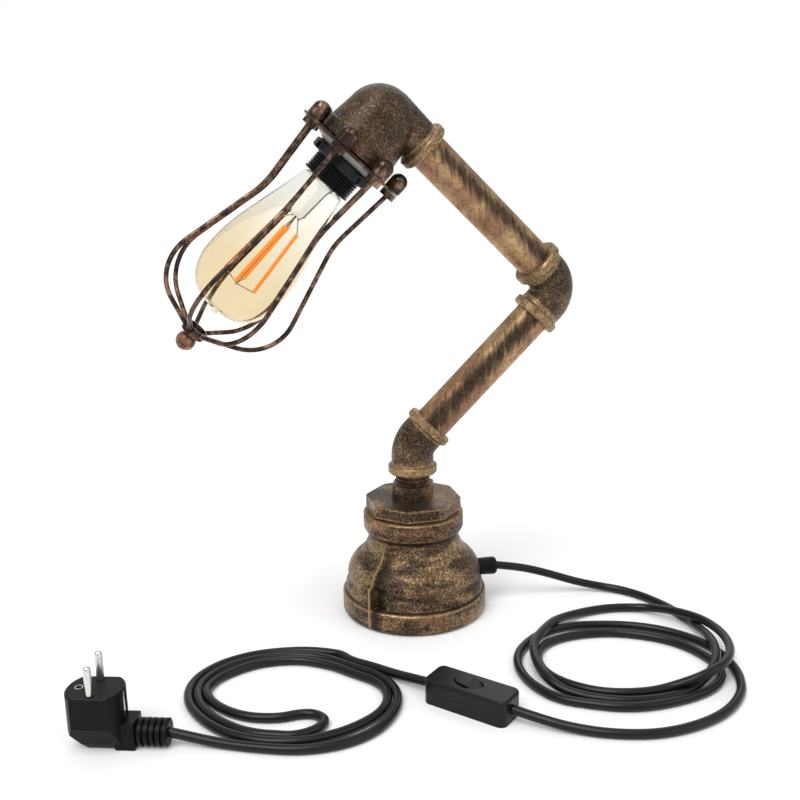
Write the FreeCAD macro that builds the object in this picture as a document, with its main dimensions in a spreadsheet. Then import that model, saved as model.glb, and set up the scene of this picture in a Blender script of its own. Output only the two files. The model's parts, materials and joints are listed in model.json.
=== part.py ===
import FreeCAD, Part
import math
import os
import Sketcher

Vector = FreeCAD.Vector
Rotation = FreeCAD.Rotation
Placement = FreeCAD.Placement
X_AXIS, Y_AXIS, Z_AXIS = Vector(1, 0, 0), Vector(0, 1, 0), Vector(0, 0, 1)

# ---------------------------------------------------------------- driving sizes, mm and degrees
SIZES = {
    # cast base: a bell reducer standing on its wide end
    "base_height": 79.5,
    "base_band_radius": 55.2,
    "base_band_height": 16.3,
    "base_belly_radius": 51.0,
    "base_belly_height": 33.0,
    "base_neck_radius": 34.2,
    "base_neck_drop": 19.5,
    "base_rim_radius": 38.0,
    "base_rim_height": 13.0,
    "base_wall": 5.0,
    "base_foot_gap": 0.6,
    "seam_proud": 1.3,
    "seam_width_angle": 3.0,
    "seam_azimuth": -135.0,
    "tab_width_angle": 10.0,
    "notch_depth": 5.0,
    "notch_height": 17.5,
    "notch_width_angle": 13.5,
    # closing plate under the base
    "cover_ledge": 5.2,
    "cover_thickness": 2.5,
    "pad_inset": 1.0,
    "pad_thickness": 2.0,
    "cover_clearance": 0.2,
    "cover_screw_radius": 1.5,
    "cover_screw_head_radius": 2.9,
    "cover_screw_length": 8.0,
    "cover_screw_inset": 3.0,
    # threaded bushing with an eight-sided head
    "bushing_flats": 67.0,
    "bushing_head_height": 9.6,
    "bushing_gap": 1.3,
    "bushing_thread_radius": 29.8,
    "bushing_thread_length": 15.0,
    "bushing_turn": 7.0,
    # hexagon nipple
    "hex_flats": 29.4,
    "hex_height": 10.6,
    "hex_turn": 14.0,
    "nipple_thread_radius": 13.2,
    "nipple_bore_radius": 9.5,
    "nipple_show": 8.7,
    "thread_clearance": 0.15,
    # pipe and fittings
    "pipe_radius": 13.45,
    "pipe_wall": 2.6,
    "pipe_engagement": 10.0,
    "fitting_body_radius": 15.9,
    "fitting_band_radius": 18.4,
    "fitting_band_height": 6.6,
    "elbow45_leg": 21.5,
    "elbow45_bend_radius": 22.0,
    "elbow90_leg": 30.0,
    "elbow90_bend_radius": 17.0,
    "arm_tilt": 44.3,
    "lower_run": 160.2,
    "upper_run": 181.4,
    "upper_roll": 8.0,
    "head_roll": -3.6,
    # reducing elbow at the head
    "head_angle": 91.3,
    "head_leg": 36.2,
    "head_body_radius": 25.0,
    "head_body_flare": 1.8,
    "head_dome_centre": 9.4,
    "head_band_radius": 28.2,
    "head_band_height": 11.0,
    "head_bore_radius": 20.6,
    "head_face": 36.4,
    # cage
    "cage_plate_radius": 41.6,
    "cage_plate_thickness": 2.0,
    "cage_bolt_circle": 36.2,
    "cage_wire_radius": 1.7,
    "cage_waist_radius": 32.0,
    "cage_waist_depth": 55.0,
    "cage_shoulder_radius": 54.8,
    "cage_shoulder_depth": 142.5,
    "cage_waist_bend": 60.0,
    "cage_shoulder_bend": 34.0,
    "cage_depth": 163.2,
    "cage_first_angle": -26.0,
    "cup_radius": 9.0,
    "cup_height": 6.5,
    "cup_wall": 1.6,
    "finial_radius": 7.0,
    "finial_screw_radius": 2.0,
    "cap_nut_radius": 6.1,
    "cap_nut_height": 12.6,
    "lock_nut_flats": 9.6,
    "lock_nut_height": 4.4,
    # lamp holder
    "dish_radius": 27.8,
    "dish_depth": 4.2,
    "dish_thickness": 1.2,
    "shade_ring_radius": 23.8,
    "shade_ring_height": 7.2,
    "holder_radius": 18.2,
    "holder_depth": 27.0,
    "holder_wall": 2.4,
    "holder_back": 8.0,
    "holder_base_thickness": 3.0,
    "shell_radius": 14.2,
    "shell_wall": 0.5,
    "plate_screw_radius": 2.0,
    "plate_screw_circle": 24.4,
    "plate_screw_length": 8.0,
    # bulb
    "bulb_radius": 32.2,
    "bulb_neck_radius": 16.2,
    "bulb_cap_radius": 13.2,
    "bulb_cap_start": 36.6,
    "bulb_glass_start": 61.0,
    "bulb_widest": 147.0,
    "bulb_crown_height": 31.2,
    "bulb_tip_height": 3.6,
    "bulb_flank_radius": 138.0,
    "bulb_shoulder_radius": 40.8,
    "bulb_crown_radius": 21.0,
    "bulb_glass_wall": 1.0,
    "stem_length": 34.0,
    "filament_radius": 1.3,
    "filament_gap": 7.5,
    "filament_length": 50.0,
    "filament_low_circle": 9.0,
    "filament_high_circle": 13.0,
    # cord outlet
    "gland_height": 28.4,
    "gland_radius": 6.8,
    "gland_stand_out": 14.2,
    "gland_seat_depth": 2.6,
    "gland_hole_radius": 5.0,
    "gland_nut_flats": 15.0,
    "gland_nut_height": 4.0,
    "cord_radius": 3.1,
    # coils of cord, lying on the table
    "coil_height": 12.4,
    "right_coil_x": 134.0,
    "right_coil_y": -111.0,
    "right_coil_major": 81.0,
    "right_coil_minor": 75.0,
    "right_coil_hole_major": 52.0,
    "right_coil_hole_minor": 36.0,
    "left_coil_x": -99.3,
    "left_coil_y": -128.0,
    "left_coil_major": 67.8,
    "left_coil_minor": 60.5,
    "left_coil_hole_major": 51.0,
    "left_coil_hole_minor": 41.0,
    # cord switch
    "switch_x": 13.0,
    "switch_y": -153.0,
    "switch_turn": -42.0,
    "switch_length": 59.5,
    "switch_width": 23.5,
    "switch_base_height": 7.5,
    "switch_cover_height": 9.3,
    "switch_corner": 5.0,
    "switch_wall": 1.8,
    "switch_cord_height": 8.0,
    "rocker_length": 20.0,
    "rocker_width": 11.5,
    "rocker_gap": 0.5,
    "rocker_rise": 2.6,
    "rocker_tilt": 8.0,
    "rocker_pin_radius": 1.2,
    # plug
    "plug_x": -217.5,
    "plug_y": -154.5,
    "plug_turn": -12.0,
    "plug_radius": 17.9,
    "plug_flats": 27.2,
    "plug_height": 37.5,
    "plug_barrel_low": 17.0,
    "plug_keel_width": 11.0,
    "plug_pin_radius": 2.4,
    "plug_pin_length": 19.0,
    "plug_pin_spacing": 19.0,
    "plug_pin_root": 8.0,
    "plug_pin_shank_radius": 1.9,
    "plug_relief_radius": 8.4,
    "plug_relief_reach": 43.0,
    "plug_relief_height": 8.6,
    "plug_clip_width": 4.6,
    "plug_clip_thickness": 0.8,
}
WIRE_COUNT = 7
COVER_SCREW_COUNT = 3
PLATE_SCREW_COUNT = 3
RELIEF_RIB_COUNT = 5


class Size:
    """A number together with the spreadsheet formula that gives it."""

    def __init__(self, number, formula):
        self.number = number
        self.formula = formula

    def __float__(self):
        return float(self.number)

    def __add__(self, other):
        return Size(float(self) + float(other), f"({self.formula} + {formula(other)})")

    def __radd__(self, other):
        return Size(float(other) + float(self), f"({formula(other)} + {self.formula})")

    def __sub__(self, other):
        return Size(float(self) - float(other), f"({self.formula} - {formula(other)})")

    def __rsub__(self, other):
        return Size(float(other) - float(self), f"({formula(other)} - {self.formula})")

    def __mul__(self, other):
        return Size(float(self) * float(other), f"({self.formula} * {formula(other)})")

    __rmul__ = __mul__

    def __truediv__(self, other):
        return Size(float(self) / float(other), f"({self.formula} / {formula(other)})")

    def __neg__(self):
        return Size(-float(self), f"(-1 * {self.formula})")


def formula(value):
    return value.formula if isinstance(value, Size) else repr(float(value))


class Sizes:
    """The spreadsheet's cells as attributes."""


doc = FreeCAD.newDocument("pipe_lamp")
sheet = doc.addObject("Spreadsheet::Sheet", "Sizes")
s = Sizes()
for row, (alias, number) in enumerate(SIZES.items(), 1):
    sheet.set(f"A{row}", alias)
    sheet.set(f"B{row}", str(number))
    sheet.setAlias(f"B{row}", alias)
    setattr(s, alias, Size(number, f"Sizes.{alias}"))
doc.recompute()

parts = []


def keep(thing, name, placement=None):
    """Name a finished sub-part and put it in its place."""
    thing.Label = name
    if placement is not None:
        thing.Placement = placement
    parts.append(thing)
    return thing


def bind(thing, prop, value):
    """Tie a property to its formula, or set it when it is a plain number."""
    if isinstance(value, Size):
        thing.setExpression(prop, value.formula)
    else:
        setattr(thing, prop, value)


def turn_z(angle):
    return Placement(Vector(), Rotation(Z_AXIS, float(angle)))


def turn_y(angle):
    return Placement(Vector(), Rotation(Y_AXIS, float(angle)))


def shift(x, y, z):
    return Placement(Vector(float(x), float(y), float(z)), Rotation())


# ---------------------------------------------------------------- sketches and features
def origin_plane(body, role):
    return next(feature for feature in body.Origin.OriginFeatures if feature.Role == role)


def new_sketch(body, role, name, lean=0.0, rise=0.0, azimuth=0.0):
    """A sketch on one of the body's own planes, leant in the plane, lifted off it or turned about Z."""
    sketch = body.newObject("Sketcher::SketchObject", name)
    sketch.AttachmentSupport = [(origin_plane(body, role), "")]
    sketch.MapMode = "FlatFace"
    turn = Rotation(Y_AXIS, float(azimuth)) if float(azimuth) else Rotation(Z_AXIS, float(lean))
    sketch.AttachmentOffset = Placement(Vector(0, 0, float(rise)), turn)
    if isinstance(rise, Size):
        sketch.setExpression(".AttachmentOffset.Base.z", rise.formula)
    return sketch


def pin_point(sketch, edge, end, x, y):
    """Fix one end of an edge at a place given by two sizes."""
    for kind, value in (("DistanceX", x), ("DistanceY", y)):
        sketch.addConstraint(Sketcher.Constraint(kind, -1, 1, edge, end, float(value)))
        if isinstance(value, Size):
            sketch.setExpression(f"Constraints[{sketch.ConstraintCount - 1}]", value.formula)


def arc_between(start, finish, radius):
    """The short arc from start to finish; a positive radius curves to the left of the way."""
    chord = finish - start
    half = chord.Length / 2
    rise = math.sqrt(max(radius * radius - half * half, 0.0))
    left = Vector(-chord.y, chord.x, 0).normalize()
    centre = (start + finish) / 2 + left * (rise if radius > 0 else -rise)
    first, last = (start, finish) if radius > 0 else (finish, start)
    angles = [math.atan2(point.y - centre.y, point.x - centre.x) for point in (first, last)]
    circle = Part.Circle(centre, Z_AXIS, abs(radius))
    return Part.ArcOfCircle(circle, angles[0], angles[1])


def draw_outline(sketch, outline):
    """A closed outline: (x, y), or (x, y, radius) where an arc leads to that corner."""
    corners = [Vector(float(corner[0]), float(corner[1]), 0) for corner in outline]
    ends = []
    for index, corner in enumerate(outline):
        start, finish = corners[index - 1], corners[index]
        if len(corner) == 3:
            edge = sketch.addGeometry(arc_between(start, finish, float(corner[2])))
            ends.append((edge, 1, 2) if float(corner[2]) > 0 else (edge, 2, 1))
        else:
            edge = sketch.addGeometry(Part.LineSegment(start, finish))
            ends.append((edge, 1, 2))
    for index, corner in enumerate(outline):
        edge, _, last = ends[index]
        following, first, _ = ends[(index + 1) % len(outline)]
        sketch.addConstraint(Sketcher.Constraint("Coincident", edge, last, following, first))
        pin_point(sketch, edge, last, corner[0], corner[1])
        if len(corner) == 3:
            sketch.addConstraint(Sketcher.Constraint("Radius", edge, abs(float(corner[2]))))
            if isinstance(corner[2], Size):
                size = corner[2] if float(corner[2]) > 0 else -corner[2]
                sketch.setExpression(f"Constraints[{sketch.ConstraintCount - 1}]", size.formula)


def new_body(name):
    return doc.addObject("PartDesign::Body", name)


def add_turned(body, outline, name, lean=0.0, azimuth=0.0, angle=360.0):
    """Turn an outline of (radius, height) corners about the sketch's upright axis."""
    return turned_feature(body, "PartDesign::Revolution", outline, name, lean, azimuth, angle)


def cut_turned(body, outline, name, lean=0.0, azimuth=0.0, angle=360.0):
    """Cut away a turned outline, and make sure that it did cut."""
    before = body.Shape.Volume
    feature = turned_feature(body, "PartDesign::Groove", outline, name, lean, azimuth, angle)
    if feature.Shape.Volume > before - 1e-3:
        raise RuntimeError(f"{name} cuts nothing")
    return feature


def turned_feature(body, kind, outline, name, lean, azimuth, angle):
    sketch = new_sketch(body, "XZ_Plane", name + "Sketch", lean=lean, azimuth=azimuth)
    draw_outline(sketch, outline)
    doc.recompute()
    feature = body.newObject(kind, name)
    feature.Profile = sketch
    feature.ReferenceAxis = (sketch, ["V_Axis"])
    feature.Midplane = float(angle) < 360.0
    bind(feature, "Angle", angle)
    sketch.Visibility = False
    doc.recompute()
    return feature


def turned_part(name, outline, placement=None):
    """A whole sub-part turned from one outline."""
    body = new_body(name + "_body")
    add_turned(body, outline, name + "_turn")
    return keep(body, name, placement)


def cylinder(radius, height, placement=None, name="Cylinder"):
    thing = doc.addObject("Part::Cylinder", name)
    bind(thing, "Radius", radius)
    bind(thing, "Height", height)
    thing.Placement = placement or Placement()
    return thing


def prism(sides, flats, height, placement=None, name="Prism"):
    """An upright prism, sized across its flats."""
    thing = doc.addObject("Part::Prism", name)
    thing.Polygon = sides
    bind(thing, "Circumradius", flats / (2 * math.cos(math.pi / sides)))
    bind(thing, "Height", height)
    thing.Placement = placement or Placement()
    return thing


def box(length, width, height, placement=None, name="Box"):
    """A box centred on its own X and Y, standing on its own Z = 0."""
    thing = doc.addObject("Part::Box", name)
    bind(thing, "Length", length)
    bind(thing, "Width", width)
    bind(thing, "Height", height)
    thing.Placement = (placement or Placement()) * shift(-float(length) / 2, -float(width) / 2, 0)
    return thing


def fused(*things, name="Fuse"):
    thing = doc.addObject("Part::MultiFuse", name)
    thing.Shapes = list(things)
    doc.recompute()
    return thing


def shared(first, second, name="Common"):
    thing = doc.addObject("Part::MultiCommon", name)
    thing.Shapes = [first, second]
    doc.recompute()
    return thing


def cut(first, *tools, name="Cut"):
    """Take the tools away from a solid, and make sure that each one cut something."""
    result = first
    for tool in tools:
        doc.recompute()
        before = result.Shape.Volume
        thing = doc.addObject("Part::Cut", name)
        thing.Base, thing.Tool = result, tool
        doc.recompute()
        if thing.Shape.Volume > before - 1e-4:
            raise RuntimeError(f"{tool.Label} cuts nothing from {first.Label}")
        result = thing
    return result


def group(things, name="Group"):
    thing = doc.addObject("Part::Compound", name)
    thing.Links = list(things)
    doc.recompute()
    return thing


def chamfer_tool(radius, height, chamfer, placement=None, bottom=True, name="Chamfer"):
    """A turned blank whose sloped rims take the corners off a nut."""
    body = new_body(name)
    slope = chamfer * 0.6
    outline = [(0.0, 0.0), (0.0, height), (radius - chamfer, height), (radius, height - slope)]
    outline += [(radius, slope), (radius - chamfer, 0.0)] if bottom else [(radius, 0.0)]
    add_turned(body, outline, name + "Turn")
    body.Placement = placement or Placement()
    return body


# ---------------------------------------------------------------- cast base
seat_height = s.base_foot_gap + s.cover_thickness + s.pad_thickness - s.base_foot_gap
thread_bore = s.bushing_thread_radius + s.thread_clearance
rim_low = s.base_height - s.base_rim_height
neck_height = s.base_height - s.base_neck_drop
cover_radius = s.base_band_radius - s.cover_ledge
screw_circle = cover_radius - s.cover_screw_inset
gland_root = s.base_belly_radius - s.gland_seat_depth
gland_reach = s.base_belly_radius + s.gland_stand_out
gland_nut_face = s.base_belly_radius - s.base_wall - 1.8


def bell_outline(proud, low, high):
    """The outside of the bell from its band to its rim, stood off by the given amount."""
    band_top = s.base_band_height
    return [
        (s.base_band_radius - 2.6 + proud, low),
        (s.base_band_radius + proud, low + 3.2, Size(4.0, "4")),
        (s.base_band_radius + proud, band_top - 0.8),
        (s.base_band_radius - 0.8 + proud, band_top),
        (s.base_band_radius - 2.2 + proud, band_top + 0.6),
        (s.base_belly_radius + 1.9 + proud, band_top + 4.0),
        (s.base_belly_radius - 0.2 + proud, band_top + 9.2, Size(7.0, "7")),
        (s.base_belly_radius - 0.9 + proud, band_top + 11.2),
        (s.base_belly_radius + proud, s.base_belly_height - 1.6),
        (s.base_belly_radius - 10.0 + proud, s.base_belly_height + 13.6, Size(20.0, "20")),
        (s.base_neck_radius + proud, high, Size(-36.0, "-36")),
    ]


def build_base():
    """Bell reducer: banded foot, belly, neck and threaded rim, hollow and open below."""
    body = new_body("BaseBody")
    neck = neck_height
    wall = s.base_wall
    outer = bell_outline(0.0, s.base_foot_gap, neck)
    outer += [
        (s.base_neck_radius, neck + 1.6),
        (s.base_rim_radius - 0.6, rim_low + 0.4),
        (s.base_rim_radius, rim_low + 1.6),
        (s.base_rim_radius, s.base_height - 1.0),
        (s.base_rim_radius - 1.0, s.base_height),
        (thread_bore + 1.0, s.base_height),
        (thread_bore, s.base_height - 1.0),
    ]
    inner = [
        (thread_bore, s.base_height - s.bushing_thread_length - 1.0),
        (s.base_neck_radius - wall, neck - 3.0),
        (s.base_belly_radius - 10.0 - wall, s.base_belly_height + 11.0),
        (s.base_belly_radius - wall - 1.0, s.base_belly_height - 4.0),
        (s.base_belly_radius - wall - 2.0, seat_height + 4.0),
        (screw_circle - 4.0, seat_height),
        (cover_radius + s.cover_clearance, seat_height),
        (cover_radius + s.cover_clearance, s.base_foot_gap),
    ]
    add_turned(body, outer + inner, "Bell")
    rib = [(s.base_belly_radius - 9.0, s.base_belly_height - 1.6)]
    rib += bell_outline(s.seam_proud, s.base_foot_gap, neck - 1.0)[8:]
    rib += [(s.base_neck_radius - 2.0, neck - 1.0), (s.base_belly_radius - 9.0, s.base_belly_height + 4.0)]
    add_turned(body, rib, "Seam", azimuth=s.seam_azimuth, angle=s.seam_width_angle)
    band_face = s.base_band_radius - 0.3
    tab = [
        (s.base_belly_radius - 4.0, s.base_band_height - 2.0),
        (band_face, s.base_band_height - 2.0),
        (band_face, s.base_belly_height - 1.6),
        (band_face - 1.6, s.base_belly_height),
        (s.base_belly_radius - 4.0, s.base_belly_height),
    ]
    add_turned(body, tab, "Tab", azimuth=s.seam_azimuth - s.tab_width_angle / 2, angle=s.tab_width_angle)
    low = s.base_band_height + 0.2
    floor_radius = s.base_belly_radius + 1.6 - s.notch_depth
    notch = [
        (s.base_band_radius + 3.0, low),
        (s.base_band_radius + 3.0, low + s.notch_height),
        (s.base_belly_radius - 1.4, low + s.notch_height),
        (floor_radius, low + s.notch_height - 4.0),
        (floor_radius, low),
    ]
    cut_turned(body, notch, "Notch", azimuth=s.seam_azimuth + s.notch_width_angle / 2, angle=s.notch_width_angle)
    outlet = shift(0, 0, s.gland_height) * turn_y(90)
    gland_hole = cylinder(s.gland_hole_radius + s.thread_clearance, s.base_band_radius, outlet, "GlandHole")
    gland_seat = cylinder(s.gland_radius + 0.3, Size(9.0, "9"), outlet * shift(0, 0, gland_root + 1.6), "GlandSeat")
    nut_seat = cylinder(Size(9.4, "9.4"), gland_nut_face - 30.0, outlet * shift(0, 0, 30), "NutSeat")
    holes = fused(*screw_solids(s.cover_screw_radius, s.cover_screw_length + 0.4, s.thread_clearance),
                  name="CoverHoles")
    return keep(cut(body, gland_hole, gland_seat, nut_seat, holes, name="BaseCut"), "base_reducer")


def screw_solids(radius, length, clearance):
    """The shanks of the cover screws, or with a clearance the holes that take them."""
    shanks = []
    for index in range(COVER_SCREW_COUNT):
        place = turn_z(index * 360 / COVER_SCREW_COUNT + 30) * shift(screw_circle, 0, s.pad_thickness)
        shanks.append(cylinder(radius + clearance, length + clearance * 2, place, "Shank"))
    return shanks


def build_cover():
    """Steel closing plate, its three countersunk screws and the pad under them."""
    plate = cylinder(cover_radius, s.cover_thickness - s.thread_clearance, shift(0, 0, s.pad_thickness), "Plate")
    seats, screws = [], []
    for index in range(COVER_SCREW_COUNT):
        place = turn_z(index * 360 / COVER_SCREW_COUNT + 30) * shift(screw_circle, 0, s.pad_thickness)
        for kept, spare in ((seats, s.thread_clearance), (screws, 0.0)):
            head = doc.addObject("Part::Cone", "Head")
            bind(head, "Radius1", s.cover_screw_head_radius + spare)
            bind(head, "Radius2", s.cover_screw_radius + spare)
            bind(head, "Height", s.cover_screw_head_radius - s.cover_screw_radius)
            head.Placement = place
            shank = cylinder(s.cover_screw_radius + spare, s.cover_screw_length, place, "Shank")
            kept.append(fused(head, shank, name="Screw"))
    drill = fused(*seats, name="ScrewSeats")
    keep(cut(plate, drill, name="PlateCut"), "base_cover")
    keep(group(screws), "cover_screws")
    pad_radius = cover_radius - s.pad_inset
    turned_part("base_pad", [
        (0.0, 0.0), (pad_radius - 0.4, 0.0), (pad_radius, 0.4),
        (pad_radius, s.pad_thickness - 0.1), (0.0, s.pad_thickness - 0.1),
    ])


# ---------------------------------------------------------------- bushing and nipple
head_low = s.base_height + s.bushing_gap
head_top = head_low + s.bushing_head_height


def build_bushing():
    """Eight-sided head over a thread that goes down into the rim, bored for the nipple."""
    corner = s.bushing_flats / (2 * math.cos(math.pi / 8))
    head = prism(8, s.bushing_flats, s.bushing_head_height,
                 shift(0, 0, head_low) * turn_z(s.bushing_turn + 22.5), "Octagon")
    blank = chamfer_tool(corner + 0.2, s.bushing_head_height, Size(0.9, "0.9"), shift(0, 0, head_low),
                         name="OctagonBlank")
    thread = cylinder(s.bushing_thread_radius, s.bushing_thread_length + s.bushing_gap + 1.0,
                      shift(0, 0, s.base_height - s.bushing_thread_length), "BushingThread")
    inside = cylinder(s.bushing_thread_radius - 5.0, s.bushing_thread_length - 2.0,
                      shift(0, 0, s.base_height - s.bushing_thread_length - 1.0), "BushingInside")
    bore = cylinder(s.nipple_thread_radius + s.thread_clearance, s.base_height,
                    shift(0, 0, s.base_height - s.bushing_thread_length - 2.0), "BushingBore")
    solid = fused(shared(head, blank, name="OctagonHead"), thread, name="BushingSolid")
    keep(cut(solid, inside, bore, name="BushingCut"), "octagon_bushing")


hex_low = head_top
hex_top = hex_low + s.hex_height
elbow_mouth = hex_top + s.nipple_show
nipple_top = elbow_mouth + s.pipe_engagement


def build_nipple():
    """Hexagon nipple: one thread down into the bushing, one up into the elbow."""
    corner = s.hex_flats / (2 * math.cos(math.pi / 6))
    collar = shared(
        prism(6, s.hex_flats, s.hex_height, shift(0, 0, hex_low) * turn_z(s.hex_turn), "Hexagon"),
        chamfer_tool(corner + 0.1, s.hex_height, Size(0.8, "0.8"), shift(0, 0, hex_low), name="HexBlank"),
        name="HexCollar")
    radius = s.nipple_thread_radius
    stem_low = head_low + 1.0
    ridges = 3
    pitch = s.nipple_show / ridges
    outline = [(0.0, stem_low), (radius - 0.8, stem_low), (radius, stem_low + 0.8), (radius, hex_top)]
    for ridge in range(ridges):
        low = hex_top + pitch * ridge
        outline += [(radius - 1.1, low + pitch * 0.25), (radius - 1.1, low + pitch * 0.5), (radius, low + pitch)]
    outline += [(radius, nipple_top - 0.8), (radius - 0.8, nipple_top), (0.0, nipple_top)]
    stem = new_body("NippleStem")
    add_turned(stem, outline, "NippleTurn")
    bore = cylinder(s.nipple_bore_radius, s.base_height, shift(0, 0, stem_low - 1.0), "NippleBore")
    keep(cut(fused(collar, stem, name="NippleSolid"), bore, name="NippleCut"), "hex_nipple")


# ---------------------------------------------------------------- arm frames
# Each frame has its origin at the crossing of a fitting's two centre lines. The arm's plane is XZ.
lower_frame = shift(0, 0, elbow_mouth + s.elbow45_leg)
pipe_frame = lower_frame * turn_y(s.arm_tilt)
middle_frame = pipe_frame * shift(0, 0, s.lower_run) * turn_z(180 + float(s.upper_roll))
head_frame = middle_frame * shift(s.upper_run, 0, 0) * turn_y(90) * turn_z(s.head_roll)
cage_frame = head_frame * turn_y(s.head_angle)


# ---------------------------------------------------------------- elbows and pipes
def band_outline(radius, leg, height, root):
    """A rounded band round the mouth of a fitting, by distance along its leg."""
    return [
        (root, leg - height - 1.4),
        (radius - 0.9, leg - height),
        (radius, leg - height + 0.9),
        (radius, leg - 1.2),
        (radius - 1.2, leg),
        (root, leg),
    ]


def socket_outline(leg, depth, radius, inner):
    """The threaded mouth that a pipe goes into."""
    return [(0.0, leg + 1.0), (radius + 0.5, leg + 1.0), (radius, leg - 0.6), (radius, leg - depth),
            (inner - 1.5, leg - depth - 0.8), (0.0, leg - depth - 0.8)]


def bent_path(body, angle, leg, bend_radius, name):
    """The centre line of a fitting: up one leg, round the bend and out along the other."""
    path = new_sketch(body, "XZ_Plane", name)
    reach = bend_radius * math.tan(math.radians(angle) / 2)
    out = Vector(math.sin(math.radians(angle)), math.cos(math.radians(angle)), 0)
    first = Part.LineSegment(Vector(0, -float(leg), 0), Vector(0, -float(reach), 0))
    second = arc_between(Vector(0, -float(reach), 0), out * float(reach), -float(bend_radius))
    third = Part.LineSegment(out * float(reach), out * float(leg))
    for edge in (first, second, third):
        path.addGeometry(edge)
    pin_point(path, 0, 1, 0.0, -leg)
    pin_point(path, 0, 2, 0.0, -reach)
    pin_point(path, 1, 1, reach * out.x, reach * out.y)
    path.addConstraint(Sketcher.Constraint("Coincident", 0, 2, 1, 2))
    path.addConstraint(Sketcher.Constraint("Coincident", 1, 1, 2, 1))
    path.addConstraint(Sketcher.Constraint("Radius", 1, float(bend_radius)))
    path.setExpression(f"Constraints[{path.ConstraintCount - 1}]", bend_radius.formula)
    pin_point(path, 2, 2, leg * out.x, leg * out.y)
    return path


def swept_disc(body, kind, path, radius, leg, name):
    section = new_sketch(body, "XY_Plane", name + "Section", rise=-leg)
    section.addGeometry(Part.Circle(Vector(), Z_AXIS, float(radius)))
    section.addConstraint(Sketcher.Constraint("Coincident", 0, 3, -1, 1))
    section.addConstraint(Sketcher.Constraint("Radius", 0, float(radius)))
    section.setExpression("Constraints[1]", radius.formula)
    doc.recompute()
    before = body.Shape.Volume if body.Tip else 0.0
    feature = body.newObject(kind, name)
    feature.Profile = section
    feature.Spine = (path, ["Edge1", "Edge2", "Edge3"])
    doc.recompute()
    if kind == "PartDesign::SubtractivePipe" and feature.Shape.Volume > before - 1e-3:
        raise RuntimeError(f"{name} cuts nothing")
    section.Visibility = path.Visibility = False


def build_elbow(name, angle, leg, bend_radius, placement):
    """A malleable elbow with a rounded band round each threaded mouth."""
    body = new_body(name + "_body")
    path = bent_path(body, angle, leg, bend_radius, name + "_path")
    swept_disc(body, "PartDesign::AdditivePipe", path, s.fitting_body_radius, leg, name + "_wall")
    root = s.fitting_body_radius - 1.0
    band = band_outline(s.fitting_band_radius, leg, s.fitting_band_height, root)
    add_turned(body, band, name + "_low_band", lean=180)
    add_turned(body, band, name + "_high_band", lean=-angle)
    inner = s.pipe_radius - s.pipe_wall
    bore = bent_path(body, angle, leg, bend_radius, name + "_bore_path")
    swept_disc(body, "PartDesign::SubtractivePipe", bore, inner, leg, name + "_bore")
    mouth = socket_outline(leg, s.pipe_engagement + 1.0, s.pipe_radius + s.thread_clearance, inner)
    cut_turned(body, mouth, name + "_low_mouth", lean=180)
    cut_turned(body, mouth, name + "_high_mouth", lean=-angle)
    return keep(body, name, placement)


def build_pipe(name, start, finish, placement):
    """A straight length of pipe with chamfered ends, along the frame's Z axis."""
    radius, bore = s.pipe_radius, s.pipe_radius - s.pipe_wall
    turned_part(name, [
        (bore, start), (radius - 0.8, start), (radius, start + 0.8),
        (radius, finish - 0.8), (radius - 0.8, finish), (bore, finish),
    ], placement)


def build_arm():
    build_elbow("elbow_45", float(s.arm_tilt), s.elbow45_leg, s.elbow45_bend_radius, lower_frame)
    build_pipe("lower_pipe", s.elbow45_leg - s.pipe_engagement, s.lower_run - s.elbow90_leg + s.pipe_engagement,
               pipe_frame)
    build_elbow("elbow_middle", 90.0, s.elbow90_leg, s.elbow90_bend_radius, middle_frame)
    build_pipe("upper_pipe", s.elbow90_leg - s.pipe_engagement, s.upper_run - s.head_leg + s.pipe_engagement,
               middle_frame * turn_y(90))


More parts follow.
